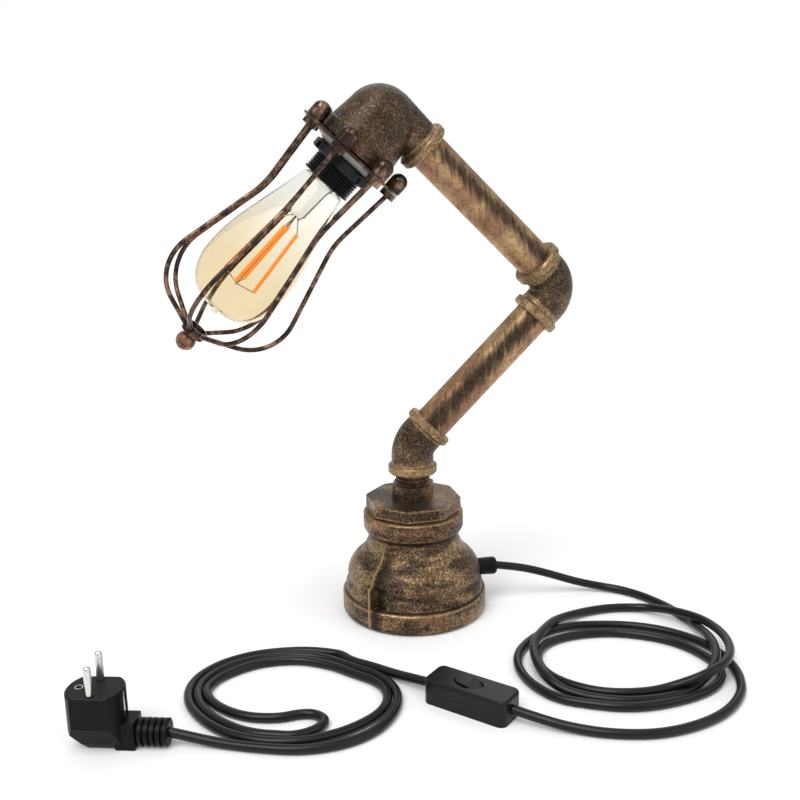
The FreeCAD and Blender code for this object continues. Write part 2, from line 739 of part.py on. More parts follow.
def build_head_elbow():
    """Reducing elbow: a domed body on the lamp side and a small leg that takes the pipe."""
    body = new_body("HeadElbow")
    dome_low = s.head_dome_centre - s.head_body_radius
    corner = s.head_body_radius
    add_turned(body, [
        (0.0, dome_low),
        (corner, s.head_dome_centre, s.head_body_radius),
        (corner + s.head_body_flare, s.head_face - s.head_band_height - 1.6),
        (s.head_band_radius - 1.2, s.head_face - s.head_band_height),
        (s.head_band_radius, s.head_face - s.head_band_height + 1.2),
        (s.head_band_radius, s.head_face - 1.4),
        (s.head_band_radius - 1.4, s.head_face),
        (0.0, s.head_face),
    ], "Dome", lean=-s.head_angle)
    leg = s.head_leg
    small = s.fitting_body_radius - 0.8
    add_turned(body, [
        (0.0, 0.0), (small + 0.8, 0.0), (small, leg - s.fitting_band_height - 1.4),
        (s.fitting_band_radius - 0.9, leg - s.fitting_band_height),
        (s.fitting_band_radius, leg - s.fitting_band_height + 0.9),
        (s.fitting_band_radius, leg - 1.2), (s.fitting_band_radius - 1.2, leg), (0.0, leg),
    ], "SmallLeg", lean=180)
    bore = s.head_bore_radius
    inside = bore - 0.6
    cut_turned(body, [
        (0.0, s.head_dome_centre - inside),
        (inside, s.head_dome_centre, inside),
        (inside, s.head_face - 16.0), (bore, s.head_face - 15.0), (bore, s.head_face - 0.8),
        (bore + 0.8, s.head_face), (bore + 0.8, s.head_face + 1.0), (0.0, s.head_face + 1.0),
    ], "BigBore", lean=-s.head_angle)
    inner = s.pipe_radius - s.pipe_wall
    cut_turned(body, [(0.0, 4.0), (inner, 4.0), (inner, leg - 4.0), (0.0, leg - 4.0)], "SmallBore", lean=180)
    mouth = socket_outline(leg, s.pipe_engagement + 1.0, s.pipe_radius + s.thread_clearance, inner)
    cut_turned(body, mouth, "SmallMouth", lean=180)
    body.Placement = head_frame
    doc.recompute()
    holes = fused(*plate_screw_shanks(s.thread_clearance), name="PlateScrewHoles")
    keep(cut(body, holes, name="HeadCut"), "head_elbow")


# ---------------------------------------------------------------- cage, along the cage frame's Z axis
plate_low = s.head_face
plate_top = s.head_face + s.cage_plate_thickness


def plate_screw_shanks(clearance):
    """Shanks of the screws that hold the cage plate to the elbow, or the holes that take them."""
    shanks = []
    for index in range(PLATE_SCREW_COUNT):
        place = cage_frame * turn_z(index * 360 / PLATE_SCREW_COUNT + 15) * shift(
            s.plate_screw_circle, 0, plate_top - s.plate_screw_length)
        shanks.append(cylinder(s.plate_screw_radius + clearance, s.plate_screw_length, place, "Shank"))
    return shanks


def around_cage(index):
    return cage_frame * turn_z(90 - float(s.cage_first_angle) - index * 360 / WIRE_COUNT)


def wire_path(start_depth, finish_radius):
    """One wire's centre line in its own upright plane: down to the waist, out, and round to the cup."""
    top = Vector(float(s.cage_bolt_circle), 0, start_depth)
    hole = Vector(float(s.cage_bolt_circle), 0, float(plate_top) + float(s.lock_nut_height))
    waist = Vector(float(s.cage_waist_radius), 0, float(plate_low + s.cage_waist_depth))
    shoulder = Vector(float(s.cage_shoulder_radius), 0, float(plate_low + s.cage_shoulder_depth))
    finish = Vector(float(finish_radius), 0, float(plate_low + s.cage_depth))
    corners = [top, hole, waist, shoulder, finish]
    bends = [30.0, float(s.cage_waist_bend), float(s.cage_shoulder_bend)]
    return rounded_wire(corners, bends)


def rounded_wire(corners, bends):
    """Straight runs through the corners, joined by tangent arcs of the given radii."""
    edges = []
    start = corners[0]
    for index, radius in enumerate(bends, 1):
        before = (corners[index] - corners[index - 1]).normalize()
        after = (corners[index + 1] - corners[index]).normalize()
        half_turn = before.getAngle(after) / 2
        reach = radius * math.tan(half_turn)
        first = corners[index] - before * reach
        last = corners[index] + after * reach
        middle = corners[index] + (after - before).normalize() * (radius / math.cos(half_turn) - radius)
        edges.append(Part.LineSegment(start, first).toShape())
        edges.append(Part.Arc(first, middle, last).toShape())
        start = last
    edges.append(Part.LineSegment(start, corners[-1]).toShape())
    return Part.Wire(edges)


def swept_tube(wire, radius):
    """A round bar along a wire, its volume checked against section times length."""
    edge = wire.Edges[0]
    start = edge.Vertexes[0].Point
    direction = edge.tangentAt(edge.FirstParameter)
    circle = Part.Wire([Part.Circle(start, direction, float(radius)).toShape()])
    solid = wire.makePipeShell([circle], True, True)
    expected = math.pi * float(radius) ** 2 * wire.Length
    if not solid.isValid() or abs(solid.Volume / expected - 1) > 0.01:
        raise RuntimeError("a swept bar has the wrong volume")
    return solid


def build_cage_plate():
    """Flat ring under the elbow, drilled for the wires, the holder and its screws."""
    plate = new_body("CagePlate")
    radius = s.cage_plate_radius
    add_turned(plate, [
        (s.holder_radius + 0.3, plate_low), (radius - 0.5, plate_low), (radius, plate_low + 0.5),
        (radius, plate_top - 0.5), (radius - 0.5, plate_top), (s.holder_radius + 0.3, plate_top),
    ], "CagePlateTurn")
    plate.Placement = cage_frame
    wire_holes = [
        cylinder(s.cage_wire_radius + s.thread_clearance, s.cage_plate_thickness + 2.0,
                 around_cage(index) * shift(s.cage_bolt_circle, 0, plate_low - 1.0), "WireHole")
        for index in range(WIRE_COUNT)
    ]
    drills = fused(*wire_holes, *plate_screw_solids(s.thread_clearance), name="PlateDrills")
    keep(cut(plate, drills, name="CagePlateCut"), "cage_plate")


def plate_screw_solids(clearance):
    """Whole countersunk screws, or the holes that take them."""
    screws = []
    for index, shank in enumerate(plate_screw_shanks(clearance)):
        head = doc.addObject("Part::Cone", "ScrewHead")
        sink = s.plate_screw_radius * 0.7
        bind(head, "Radius1", s.plate_screw_radius + clearance)
        bind(head, "Radius2", s.plate_screw_radius + sink + clearance)
        bind(head, "Height", sink)
        head.Placement = cage_frame * turn_z(index * 360 / PLATE_SCREW_COUNT + 15) * shift(
            s.plate_screw_circle, 0, plate_top - sink)
        screws.append(fused(shank, head, name="PlateScrew"))
    return screws


def build_plate_screws():
    """Countersunk screws through the plate into the face of the elbow."""
    keep(group(plate_screw_solids(0.0)), "plate_screws")


def build_cage_wires():
    """Bent wires, each in its own plane, from above the plate down to the cup."""
    above = float(plate_low) - 5.0
    end_radius = s.cup_radius - 0.3
    for index in range(WIRE_COUNT):
        wire = doc.addObject("Part::Feature", "Wire")
        wire.Shape = swept_tube(wire_path(above, end_radius), s.cage_wire_radius)
        keep(wire, f"cage_wire_{index + 1}", around_cage(index))


def build_cage_nuts():
    """Domed cap nuts over the plate and plain hexagon nuts under it, one pair to a wire."""
    caps, locks = [], []
    hollow = s.cage_wire_radius + s.thread_clearance
    radius, height = s.cap_nut_radius, s.cap_nut_height
    for index in range(WIRE_COUNT):
        cap = new_body("CapNut")
        add_turned(cap, [
            (hollow, 0.0), (radius - 0.4, 0.0), (radius, 0.4), (radius, height - radius + 1.0),
            (1.2, height, radius), (0.0, height), (0.0, 5.6), (hollow, 5.2),
        ], "CapTurn", lean=180)
        cap.Placement = around_cage(index) * shift(s.cage_bolt_circle, 0, plate_low)
        caps.append(cap)
        place = around_cage(index) * shift(s.cage_bolt_circle, 0, plate_top)
        nut = prism(6, s.lock_nut_flats, s.lock_nut_height, place, "LockNut")
        hole = cylinder(hollow, s.lock_nut_height + 2.0, place * shift(0, 0, -1), "LockNutHole")
        locks.append(cut(nut, hole, name="LockNutCut"))
    keep(group(caps), "cage_cap_nuts")
    keep(group(locks), "cage_lock_nuts")


cup_middle = plate_low + s.cage_depth
cup_floor = cup_middle + s.cup_height * 0.62


def build_cup():
    """Small cup that the wires are welded round, with the ball screwed on beneath."""
    radius, wall = s.cup_radius, s.cup_wall
    rim = cup_floor - s.cup_height
    screw = s.finial_screw_radius
    turned_part("cage_cup", [
        (screw + 0.1, cup_floor), (screw + 0.1, cup_floor - wall), (radius - wall, cup_floor - wall),
        (radius - wall, rim), (radius, rim), (radius, cup_floor - 0.6), (radius - 0.6, cup_floor),
    ], cage_frame)
    ball = s.finial_radius
    centre = cup_floor + ball * 0.86
    flat = ball * 0.5103
    turned_part("finial_ball", [
        (screw + 0.1, centre + 1.0), (0.0, centre + 1.0), (0.0, centre + ball), (ball, centre, -ball),
        (flat, centre - ball * 0.86, -ball), (screw + 0.1, centre - ball * 0.86),
    ], cage_frame)
    turned_part("finial_screw", [
        (0.0, cup_floor - wall - 2.6), (screw * 1.4, cup_floor - wall - 2.6),
        (screw * 1.8, cup_floor - wall - 1.6), (screw * 1.8, cup_floor - wall),
        (screw, cup_floor - wall), (screw, centre + 0.8), (0.0, centre + 0.8),
    ], cage_frame)


# ---------------------------------------------------------------- lamp holder
holder_mouth = plate_low + s.holder_depth
holder_inner = s.holder_radius - s.holder_wall
shell_top = s.bulb_cap_start - 2.6
dish_low = plate_top + s.dish_depth


def build_holder():
    """Moulded holder with its threaded skirt, the ring and dish that clamp it, and its contacts."""
    back = plate_low - s.holder_back
    ridge_count = 6
    ridge_low = dish_low + s.shade_ring_height + 0.6
    pitch = (holder_mouth - 1.2 - ridge_low) / ridge_count
    radius = s.holder_radius
    outline = [(0.0, back), (radius - 2.0, back), (radius, back + 2.0), (radius, ridge_low)]
    for ridge in range(ridge_count):
        low = ridge_low + pitch * ridge
        outline += [(radius - 1.0, low + pitch * 0.3), (radius - 1.0, low + pitch * 0.5), (radius, low + pitch)]
    outline += [
        (radius, holder_mouth - 0.4), (radius - 0.4, holder_mouth), (holder_inner, holder_mouth),
        (holder_inner, back + s.holder_base_thickness), (0.0, back + s.holder_base_thickness),
    ]
    turned_part("lamp_holder", outline, cage_frame)
    shell = s.shell_radius
    base = back + s.holder_base_thickness
    turned_part("holder_shell", [
        (shell - 3.0, base), (shell + s.shell_wall, base), (shell + s.shell_wall, holder_mouth - 4.0),
        (shell, holder_mouth - 4.0), (shell, base + s.shell_wall), (shell - 3.0, base + s.shell_wall),
    ], cage_frame)
    turned_part("holder_contact", [
        (0.0, base), (5.0, base), (5.0, base + 0.8), (2.4, shell_top + 1.6), (0.0, shell_top + 2.4),
    ], cage_frame)
    thick = s.dish_thickness
    rim = s.dish_radius
    turned_part("holder_dish", [
        (radius + 0.3, dish_low - thick), (s.plate_screw_circle - 4.4, dish_low - thick),
        (rim - thick, plate_top + 0.9), (rim - thick, plate_top), (rim, plate_top),
        (rim, plate_top + 1.2), (s.plate_screw_circle - 3.6, dish_low), (radius + 0.3, dish_low),
    ], cage_frame)
    build_shade_ring()


def build_shade_ring():
    """Screw-on ring under the dish, with finger notches round its rim."""
    ring = new_body("ShadeRing")
    outer, low, high = s.shade_ring_radius, dish_low, dish_low + s.shade_ring_height
    bore = s.holder_radius + 0.2
    add_turned(ring, [
        (bore, low), (outer - 3.2, low), (outer, low + 1.2), (outer, high - 1.0), (outer - 1.0, high),
        (bore + 1.6, high), (bore, high - 1.6),
    ], "ShadeRingTurn")
    notch_count = 8
    notches = [
        box(3.0, 6.0, s.shade_ring_height,
            turn_z((index + 0.5) * 360 / notch_count) * shift(outer, 0, low + 2.2), "RingNotch")
        for index in range(notch_count)
    ]
    solid = cut(ring, fused(*notches, name="RingNotches"), name="ShadeRingCut")
    keep(solid, "shade_ring", cage_frame)


# ---------------------------------------------------------------- bulb
bulb_end = s.bulb_widest + s.bulb_crown_height


def glass_outline(inset):
    """Half of the pear: the neck, the long straight flank, the shoulder and the crown."""
    start, widest = s.bulb_glass_start, s.bulb_widest
    return [
        (s.bulb_neck_radius - inset * 0.97, start + 4.6 + inset * 0.24),
        (s.bulb_radius - 4.0 - inset * 0.97, widest - 33.0 + inset * 0.24),
        (s.bulb_radius - inset, widest, s.bulb_flank_radius - inset),
        (s.bulb_radius - 4.7 - inset * 0.885, widest + 19.0 - inset * 0.466, s.bulb_shoulder_radius - inset),
        (s.bulb_radius - 20.2 - inset * 0.148, bulb_end - 1.2 - inset * 0.989, s.bulb_crown_radius - inset),
    ]


def reversed_outline(outline):
    """The same corners and arcs, travelled the other way; each arc leads back to the corner before it."""
    back = [outline[-1][:2]]
    for corner, before in zip(outline[:0:-1], outline[-2::-1]):
        back.append(before[:2] + (-corner[2],) if len(corner) == 3 else before[:2])
    return back


def build_bulb():
    """Glass pear on a screw cap, with a stem, lead wires and four straight filaments."""
    start, cap, wall = s.bulb_glass_start, s.bulb_cap_radius, s.bulb_glass_wall
    outer = [(cap - 1.0, start - 0.4), (cap - 0.6, start + 2.6)] + glass_outline(0.0)
    tip = bulb_end + s.bulb_tip_height
    outer += [(4.4, bulb_end), (1.0, tip, Size(4.4, "4.4")), (0.0, tip)]
    inner = [(0.0, bulb_end - wall)] + reversed_outline(glass_outline(wall))
    inner += [(cap - 1.8, start + 3.0), (cap - 2.0, start - 0.4)]
    turned_part("bulb_glass", outer + inner, cage_frame)
    build_bulb_cap()
    build_filaments()


def build_bulb_cap():
    """Screw cap with rolled thread, black insulator and soldered contact."""
    start = s.bulb_cap_start
    radius = s.bulb_cap_radius
    thread_low = start + 5.0
    turns = 5
    pitch = (s.bulb_glass_start - 3.0 - thread_low) / turns
    outline = [(7.0, start + 1.6), (radius - 2.0, thread_low - 1.6), (radius - 0.8, thread_low)]
    for turn in range(turns):
        low = thread_low + pitch * turn
        outline += [(radius, low + pitch * 0.35), (radius, low + pitch * 0.6), (radius - 0.8, low + pitch)]
    outline += [
        (radius, s.bulb_glass_start - 1.0), (radius + 1.0, s.bulb_glass_start + 2.4),
        (radius + 0.5, s.bulb_glass_start + 2.4), (radius - 0.8, s.bulb_glass_start - 0.6),
        (radius - 1.6, thread_low), (7.0, start + 2.6),
    ]
    turned_part("bulb_cap", outline, cage_frame)
    turned_part("bulb_insulator", [
        (3.2, start + 0.8), (6.6, start + 0.8), (6.95, start + 1.6), (6.95, start + 3.4), (3.2, start + 3.4),
    ], cage_frame)
    turned_part("bulb_contact", [
        (0.0, start), (2.6, start + 0.2), (3.1, start + 0.8), (3.1, start + 3.0), (0.0, start + 3.0),
    ], cage_frame)


def build_filaments():
    """Pressed glass stem, the wire frame that stands on it and the four filament sticks."""
    start = s.bulb_glass_start
    stem_top = start + s.stem_length
    stick_low = stem_top + s.filament_gap
    stick_high = stick_low + s.filament_length
    turned_part("bulb_stem", [
        (0.0, start + 0.6), (s.bulb_cap_radius - 2.0, start + 0.6), (8.4, start + 2.6), (7.2, start + 8.0),
        (6.0, stem_top - 4.0), (4.4, stem_top - 0.8), (3.4, stem_top), (0.0, stem_top),
    ], cage_frame)
    sticks = []
    rods = []
    count = 4
    for index in range(count):
        place = cage_frame * turn_z(19 + index * 360 / count)
        low = Vector(float(s.filament_low_circle), 0, float(stick_low))
        high = Vector(float(s.filament_high_circle), 0, float(stick_high))
        lean = Placement(low, Rotation(Z_AXIS, high - low))
        sticks.append(cylinder(s.filament_radius, (high - low).Length, place * lean, "Stick"))
        for from_point, to_point in (
            (Vector(1.6, 0, float(stem_top) - 2.0), low), (high, Vector(0, 0, float(stick_high) + 3.0)),
        ):
            span = to_point - from_point
            rods.append(cylinder(Size(0.35, "0.35"), span.Length,
                                 place * Placement(from_point, Rotation(Z_AXIS, span)), "Rod"))
    keep(group(sticks), "bulb_filaments")
    post = cylinder(Size(0.5, "0.5"), stick_high + 4.0 - stem_top, cage_frame * shift(0, 0, stem_top), "Post")
    keep(fused(post, *rods, name="Frame"), "bulb_support_wires")


# ---------------------------------------------------------------- cord outlet
def build_gland():
    """Moulded bush in the side of the bell, held by a nut inside, with a clamp block on the cover."""
    place = shift(0, 0, s.gland_height) * turn_y(90)
    nut_face = gland_nut_face
    thread_end = nut_face - s.gland_nut_height - 1.0
    root, reach, radius = gland_root, gland_reach, s.gland_radius
    hole = s.cord_radius + 0.1
    turned_part("cord_gland", [
        (hole, thread_end), (s.gland_hole_radius, thread_end), (s.gland_hole_radius, root + 1.6),
        (radius - 0.3, root + 1.6), (radius, reach - 3.0), (radius - 2.4, reach, 2.9),
        (hole, reach),
    ], place)
    nut = prism(6, s.gland_nut_flats, s.gland_nut_height, place * shift(0, 0, nut_face - s.gland_nut_height),
                "GlandNut")
    bore = cylinder(s.gland_hole_radius + s.thread_clearance, s.gland_nut_height + 2.0,
                    place * shift(0, 0, nut_face - s.gland_nut_height - 1.0), "GlandNutBore")
    keep(cut(nut, bore, name="GlandNutCut"), "gland_nut")
    block_floor = s.pad_thickness + s.cover_thickness
    block = box(30.0, 17.0, 13.0, shift(-12, 0, block_floor), "Block")
    wells = [
        cylinder(Size(2.6, "2.6"), Size(7.0, "7"), shift(-12 + step * 9.5, 0, block_floor + 7.0), "Well")
        for step in (-1, 0, 1)
    ]
    keep(cut(block, fused(*wells, name="Wells"), name="BlockCut"), "terminal_block")


# ---------------------------------------------------------------- cord
def cord_tube(name, points):
    """A tube along straight runs and tangent arcs, each arc as large as its two runs allow."""
    corners = [Vector(*point) for point in points]
    radii = []
    for before, corner, after in zip(corners, corners[1:], corners[2:]):
        half_turn = (corner - before).getAngle(after - corner) / 2
        shorter = min((corner - before).Length, (after - corner).Length)
        radii.append(0.45 * shorter / math.tan(half_turn))
    wire = rounded_wire(corners, radii)
    tube = doc.addObject("Part::Feature", "Tube")
    tube.Shape = swept_tube(wire, s.cord_radius)
    keep(tube, name)
    print(name, "length", round(wire.Length), "radii", [round(radius) for radius in radii])


def oval_block(major, minor, height, placement, name):
    """An upright block with an oval outline."""
    ellipse = doc.addObject("Part::Ellipse", name + "Oval")
    bind(ellipse, "MajorRadius", major)
    bind(ellipse, "MinorRadius", minor)
    ellipse.Placement = placement
    solid = doc.addObject("Part::Extrusion", name)
    solid.Base = ellipse
    solid.DirMode = "Custom"
    solid.Dir = Z_AXIS
    solid.Solid = True
    bind(solid, "LengthFwd", height)
    return solid


def build_coil(name, x, y, major, minor, hole_major, hole_minor):
    """The outer shape of a loose coil: a flat oval ring lying on the table."""
    outside = oval_block(major, minor, s.coil_height, shift(x, y, 0), "CoilOutside")
    inside = oval_block(hole_major, hole_minor, s.coil_height, shift(x, y, 0), "CoilInside")
    keep(cut(outside, inside, name="CoilCut"), name)


floor_z = float(s.cord_radius)
gland_exit = (float(gland_reach), 0.0, float(s.gland_height))
switch_frame = shift(s.switch_x, s.switch_y, 0) * turn_z(s.switch_turn)
plug_frame = shift(s.plug_x, s.plug_y, 0) * turn_z(s.plug_turn)


def in_frame(frame, x, y, z):
    point = frame.multVec(Vector(float(x), float(y), float(z)))
    return (point.x, point.y, point.z)


CORD_TO_COIL = [
    (84.0, 0.0, 25.6), (108.0, 0.6, 17.6), (130.0, 1.0, 9.0), (149.0, -0.6, 4.2), (166.0, -8.6, floor_z),
    (180.0, -25.0, floor_z), (191.0, -47.0, floor_z), (197.0, -68.0, floor_z),
]
CORD_TO_SWITCH = [
    (195.0, -153.0, floor_z), (188.0, -170.0, floor_z), (170.0, -189.0, floor_z), (146.0, -201.0, floor_z),
    (117.0, -206.5, floor_z), (88.0, -201.0, floor_z), (66.0, -191.5, 3.9), (49.5, -183.5, 6.6),
]
CORD_FROM_SWITCH = [
    (-20.5, -122.5, 6.6), (-32.0, -109.0, 4.0), (-45.0, -95.5, floor_z), (-58.0, -86.0, floor_z),
]
CORD_FOLD = [
    (-157.0, -112.0, floor_z), (-148.5, -130.5, floor_z), (-131.0, -145.5, floor_z), (-110.0, -150.5, floor_z),
    (-97.0, -147.5, floor_z), (-86.5, -148.8, floor_z), (-79.5, -158.0, floor_z), (-87.5, -168.0, floor_z),
    (-101.0, -172.0, floor_z),
]
CORD_TO_PLUG = [
    (-122.0, -180.5, floor_z), (-139.0, -174.5, floor_z), (-155.0, -168.5, 4.2),
]


def build_cord():
    """The free cord: outlet to right coil, switch, left coil with its fold, and plug."""
    switch_half = float(s.switch_length) / 2
    cord_tube("cord_to_coil", [gland_exit] + CORD_TO_COIL)
    build_coil("coil_right", s.right_coil_x, s.right_coil_y, s.right_coil_major, s.right_coil_minor,
               s.right_coil_hole_major, s.right_coil_hole_minor)
    cord_tube("cord_to_switch",
              CORD_TO_SWITCH + [in_frame(switch_frame, switch_half, 0, s.switch_cord_height)])
    cord_tube("cord_from_switch",
              [in_frame(switch_frame, -switch_half, 0, s.switch_cord_height)] + CORD_FROM_SWITCH)
    build_coil("coil_left", s.left_coil_x, s.left_coil_y, s.left_coil_major, s.left_coil_minor,
               s.left_coil_hole_major, s.left_coil_hole_minor)
    cord_tube("cord_fold", CORD_FOLD)
    cord_tube("cord_to_plug",
              CORD_TO_PLUG + [in_frame(plug_frame, s.plug_relief_reach, 0, s.plug_relief_height)])


# ---------------------------------------------------------------- cord switch
def rounded_block(length, width, height, corner, placement, name):
    """A block with its four upright corners rounded."""
    blank = box(length, width, height, placement, name + "Blank")
    doc.recompute()
    block = doc.addObject("Part::Fillet", name)
    block.Base = blank
    upright = [
        (index, float(corner), float(corner)) for index, edge in enumerate(blank.Shape.Edges, 1)
        if abs(edge.tangentAt(edge.FirstParameter).z) > 0.99
    ]
    block.Edges = upright
    doc.recompute()
    return block


def build_switch():
    """Two-part housing with an oval well, and the rocker on its pin."""
    length, width, corner, wall = s.switch_length, s.switch_width, s.switch_corner, s.switch_wall
    low = rounded_block(length, width, s.switch_base_height, corner, switch_frame, "SwitchLow")
    split = s.switch_base_height + 0.1
    high = rounded_block(length, width, s.switch_cover_height, corner, switch_frame * shift(0, 0, split),
                         "SwitchHigh")
    rim = [
        (index, 1.8, 1.8) for index, edge in enumerate(high.Shape.Edges, 1)
        if edge.BoundBox.ZMin > float(split + s.switch_cover_height) - 0.01
    ]
    cover = doc.addObject("Part::Fillet", "SwitchCover")
    cover.Base = high
    cover.Edges = rim
    inside = box(length - wall * 2, width - wall * 2, s.switch_base_height,
                 switch_frame * shift(0, 0, wall), "LowInside")
    cover_inside = box(length - wall * 2, width - wall * 2, s.switch_cover_height - wall,
                       switch_frame * shift(0, 0, split - 0.01), "HighInside")
    cord_holes = [
        cylinder(s.cord_radius + 0.1, wall + 2.0,
                 switch_frame * turn_z(side) * shift(length / 2 - wall - 1.0, 0, s.switch_cord_height)
                 * turn_y(90), "CordHole")
        for side in (0, 180)
    ]
    holes = fused(*cord_holes, name="CordHoles")
    well = rocker_blank(s.rocker_gap, wall + 2.0, split + s.switch_cover_height - wall - 1.0, "Well")
    keep(cut(low, inside, holes, name="SwitchBaseCut"), "switch_base")
    keep(cut(cover, cover_inside, holes, well, name="SwitchCoverCut"), "switch_cover")
    build_rocker(split + s.switch_cover_height)


def rocker_blank(gap, height, low, name):
    """The rocker's oval outline as an upright block."""
    place = switch_frame * shift(-2.0, 0, low)
    return oval_block(s.rocker_length / 2 + gap, s.rocker_width / 2 + gap, height, place, name)


def build_rocker(cover_top):
    """Rocker with two flat facets that meet over its pin, held tilted to its on side."""
    height = s.switch_wall + s.rocker_rise + 3.4
    low = cover_top - s.switch_wall - 3.4
    blank = rocker_blank(0.0, height, low, "Rocker")
    pivot_height = float(low) + 2.1
    facets = []
    for side in (-1, 1):
        place = switch_frame * shift(-2.0, 0, cover_top + s.rocker_rise * 0.45) * turn_y(side * 9.0)
        facets.append(box(26.0, 20.0, 8.0, place * shift(side * 12.0, 0, 0), "Facet"))
    top = cut(blank, *facets, name="RockerTop")
    pin = cylinder(s.rocker_pin_radius, s.rocker_width + 3.0,
                   switch_frame * shift(-2.0, float(s.rocker_width) / 2 + 1.5, pivot_height)
                   * Placement(Vector(), Rotation(X_AXIS, 90)), "RockerPin")
    bore = cylinder(s.rocker_pin_radius + 0.1, s.rocker_width + 4.0,
                    switch_frame * shift(-2.0, float(s.rocker_width) / 2 + 2.0, pivot_height)
                    * Placement(Vector(), Rotation(X_AXIS, 90)), "RockerBore")
    body = cut(top, bore, name="RockerCut")
    doc.recompute()
    pivot = switch_frame.multVec(Vector(-2.0, 0, pivot_height))
    axis = switch_frame.Rotation.multVec(Y_AXIS)
    tilt = Placement(Vector(), Rotation(axis, float(s.rocker_tilt)), pivot)
    keep(body, "switch_rocker", tilt)
    keep(pin, "rocker_pin", pin.Placement)


# ---------------------------------------------------------------- plug
def slab(outline, length, turn, name):
    """A closed outline drawn out evenly to both sides of its plane."""
    sketch = doc.addObject("Sketcher::SketchObject", name + "Outline")
    draw_outline(sketch, outline)
    sketch.Placement = Placement(Vector(), turn)
    doc.recompute()
    solid = doc.addObject("Part::Extrusion", name)
    solid.Base = sketch
    solid.DirMode = "Normal"
    solid.Symmetric = True
    solid.Solid = True
    bind(solid, "LengthFwd", length)
    return solid


def build_plug():
    """Angled mains plug lying on its back: flat-sided barrel, keeled heel and ribbed cord sleeve."""
    radius, height, flats = s.plug_radius, s.plug_height, s.plug_flats
    barrel = new_body("PlugBarrel")
    add_turned(barrel, [
        (0.0, 0.0), (radius, 0.0), (radius, height - 1.0), (radius - 1.0, height), (0.0, height),
    ], "PlugBarrelTurn")
    half, keel, low = flats / 2, s.plug_keel_width / 2, s.plug_barrel_low
    front = slab([
        (half, low), (half, height - 0.7), (half - 0.7, height), (0.7 - half, height), (-half, height - 0.7),
        (-half, low), (-keel - 2.8, Size(4.2, "4.2")), (-keel, Size(0.3, "0.3")), (keel, Size(0.3, "0.3")),
        (keel + 2.8, Size(4.2, "4.2")),
    ], radius * 3, Rotation(Vector(1, 1, 1), 120), "PlugFront")
    side = slab([
        (-radius - 1.0, height + 1.0), (-radius - 1.0, low + 1.4), (-radius, low), (-radius + 12.4, 0.2),
        (radius + 1.0, 0.2), (radius + 1.0, height + 1.0),
    ], radius * 3, Rotation(X_AXIS, 90), "PlugSide")
    heel = shared(shared(barrel, front, name="PlugFlats"), side, name="PlugHeel")
    sleeve = new_body("PlugSleeve")
    relief, reach = s.plug_relief_radius, s.plug_relief_reach
    hole = s.cord_radius + 0.1
    rib_start = reach - 19.0
    pitch = (reach - rib_start) / RELIEF_RIB_COUNT
    outline = [(0.0, 4.0), (relief, 4.0), (relief, rib_start)]
    for rib in range(RELIEF_RIB_COUNT):
        low_edge = rib_start + pitch * rib
        outline += [(relief - 2.0, low_edge + 0.3), (relief - 2.0, low_edge + 1.3),
                    (relief, low_edge + 1.6), (relief, low_edge + pitch)]
    outline += [(relief - 1.0, reach + 0.6), (hole, reach + 0.6), (hole, reach - 2.0), (0.0, reach - 2.0)]
    add_turned(sleeve, outline, "PlugSleeveTurn")
    sleeve.Placement = shift(0, 0, s.plug_relief_height) * turn_y(90)
    shoulder = box(12.0, relief * 2 - 1.0, relief * 2 + 0.6, shift(radius, 0, 0.3), "PlugShoulder")
    clip_low = low + 2.0
    clips = [
        box(3.4, s.plug_clip_width + 0.6, height - clip_low - 1.0, turn_z(side_turn) * shift(radius, 0, clip_low),
            "ClipSlot")
        for side_turn in (0, 180)
    ]
    pin_holes = [
        cylinder(s.plug_pin_shank_radius + 0.05, s.plug_pin_root + 1.0,
                 shift(0, side * float(s.plug_pin_spacing) / 2, height - s.plug_pin_root), "PinHole")
        for side in (-1, 1)
    ]
    earth_hole = cylinder(Size(2.5, "2.5"), Size(12.0, "12"), shift(-10.0, 0, height - 11.0), "EarthHole")
    solid = fused(heel, sleeve, shoulder, name="PlugSolid")
    solid = cut(solid, fused(*clips, name="ClipSlots"), fused(*pin_holes, name="PinHoles"), earth_hole,
                name="PlugCut")
    keep(solid, "plug_body", plug_frame)
    pins = []
    for side in (-1, 1):
        pin = new_body("PlugPin")
        pin_radius, root, top = s.plug_pin_radius, s.plug_pin_root, s.plug_pin_root + s.plug_pin_length
        shank = s.plug_pin_shank_radius
        add_turned(pin, [
            (0.0, 0.0), (shank, 0.0), (shank, root + 0.3), (pin_radius, root + 0.6), (pin_radius, top - 2.2),
            (0.8, top, 2.6), (0.0, top),
        ], "PlugPinTurn")
        pin.Placement = plug_frame * shift(0, side * float(s.plug_pin_spacing) / 2, height - s.plug_pin_root)
        pins.append(pin)
    keep(group(pins), "plug_pins")
    strips = [
        box(s.plug_clip_thickness, s.plug_clip_width, height - clip_low - 1.4,
            plug_frame * turn_z(side) * shift(radius - 1.2, 0, clip_low + 0.2), "Clip")
        for side in (0, 180)
    ]
    earth = plug_frame * shift(-10.0, 0, height - 10.0)
    tube = cut(cylinder(Size(2.45, "2.45"), Size(10.0, "10"), earth, "EarthTube"),
               cylinder(Size(2.0, "2"), Size(11.0, "11"), earth * shift(0, 0, 0.8), "EarthTubeBore"), name="EarthSocket")
    keep(group(strips + [tube]), "plug_earth_clips")


# ---------------------------------------------------------------- build, check and write
build_base()
build_cover()
build_bushing()
build_nipple()
build_arm()
build_head_elbow()
build_cage_plate()
build_plate_screws()
build_cage_wires()
build_cage_nuts()
build_cup()
build_holder()
build_bulb()
build_gland()
build_cord()
build_switch()
build_plug()
doc.recompute()

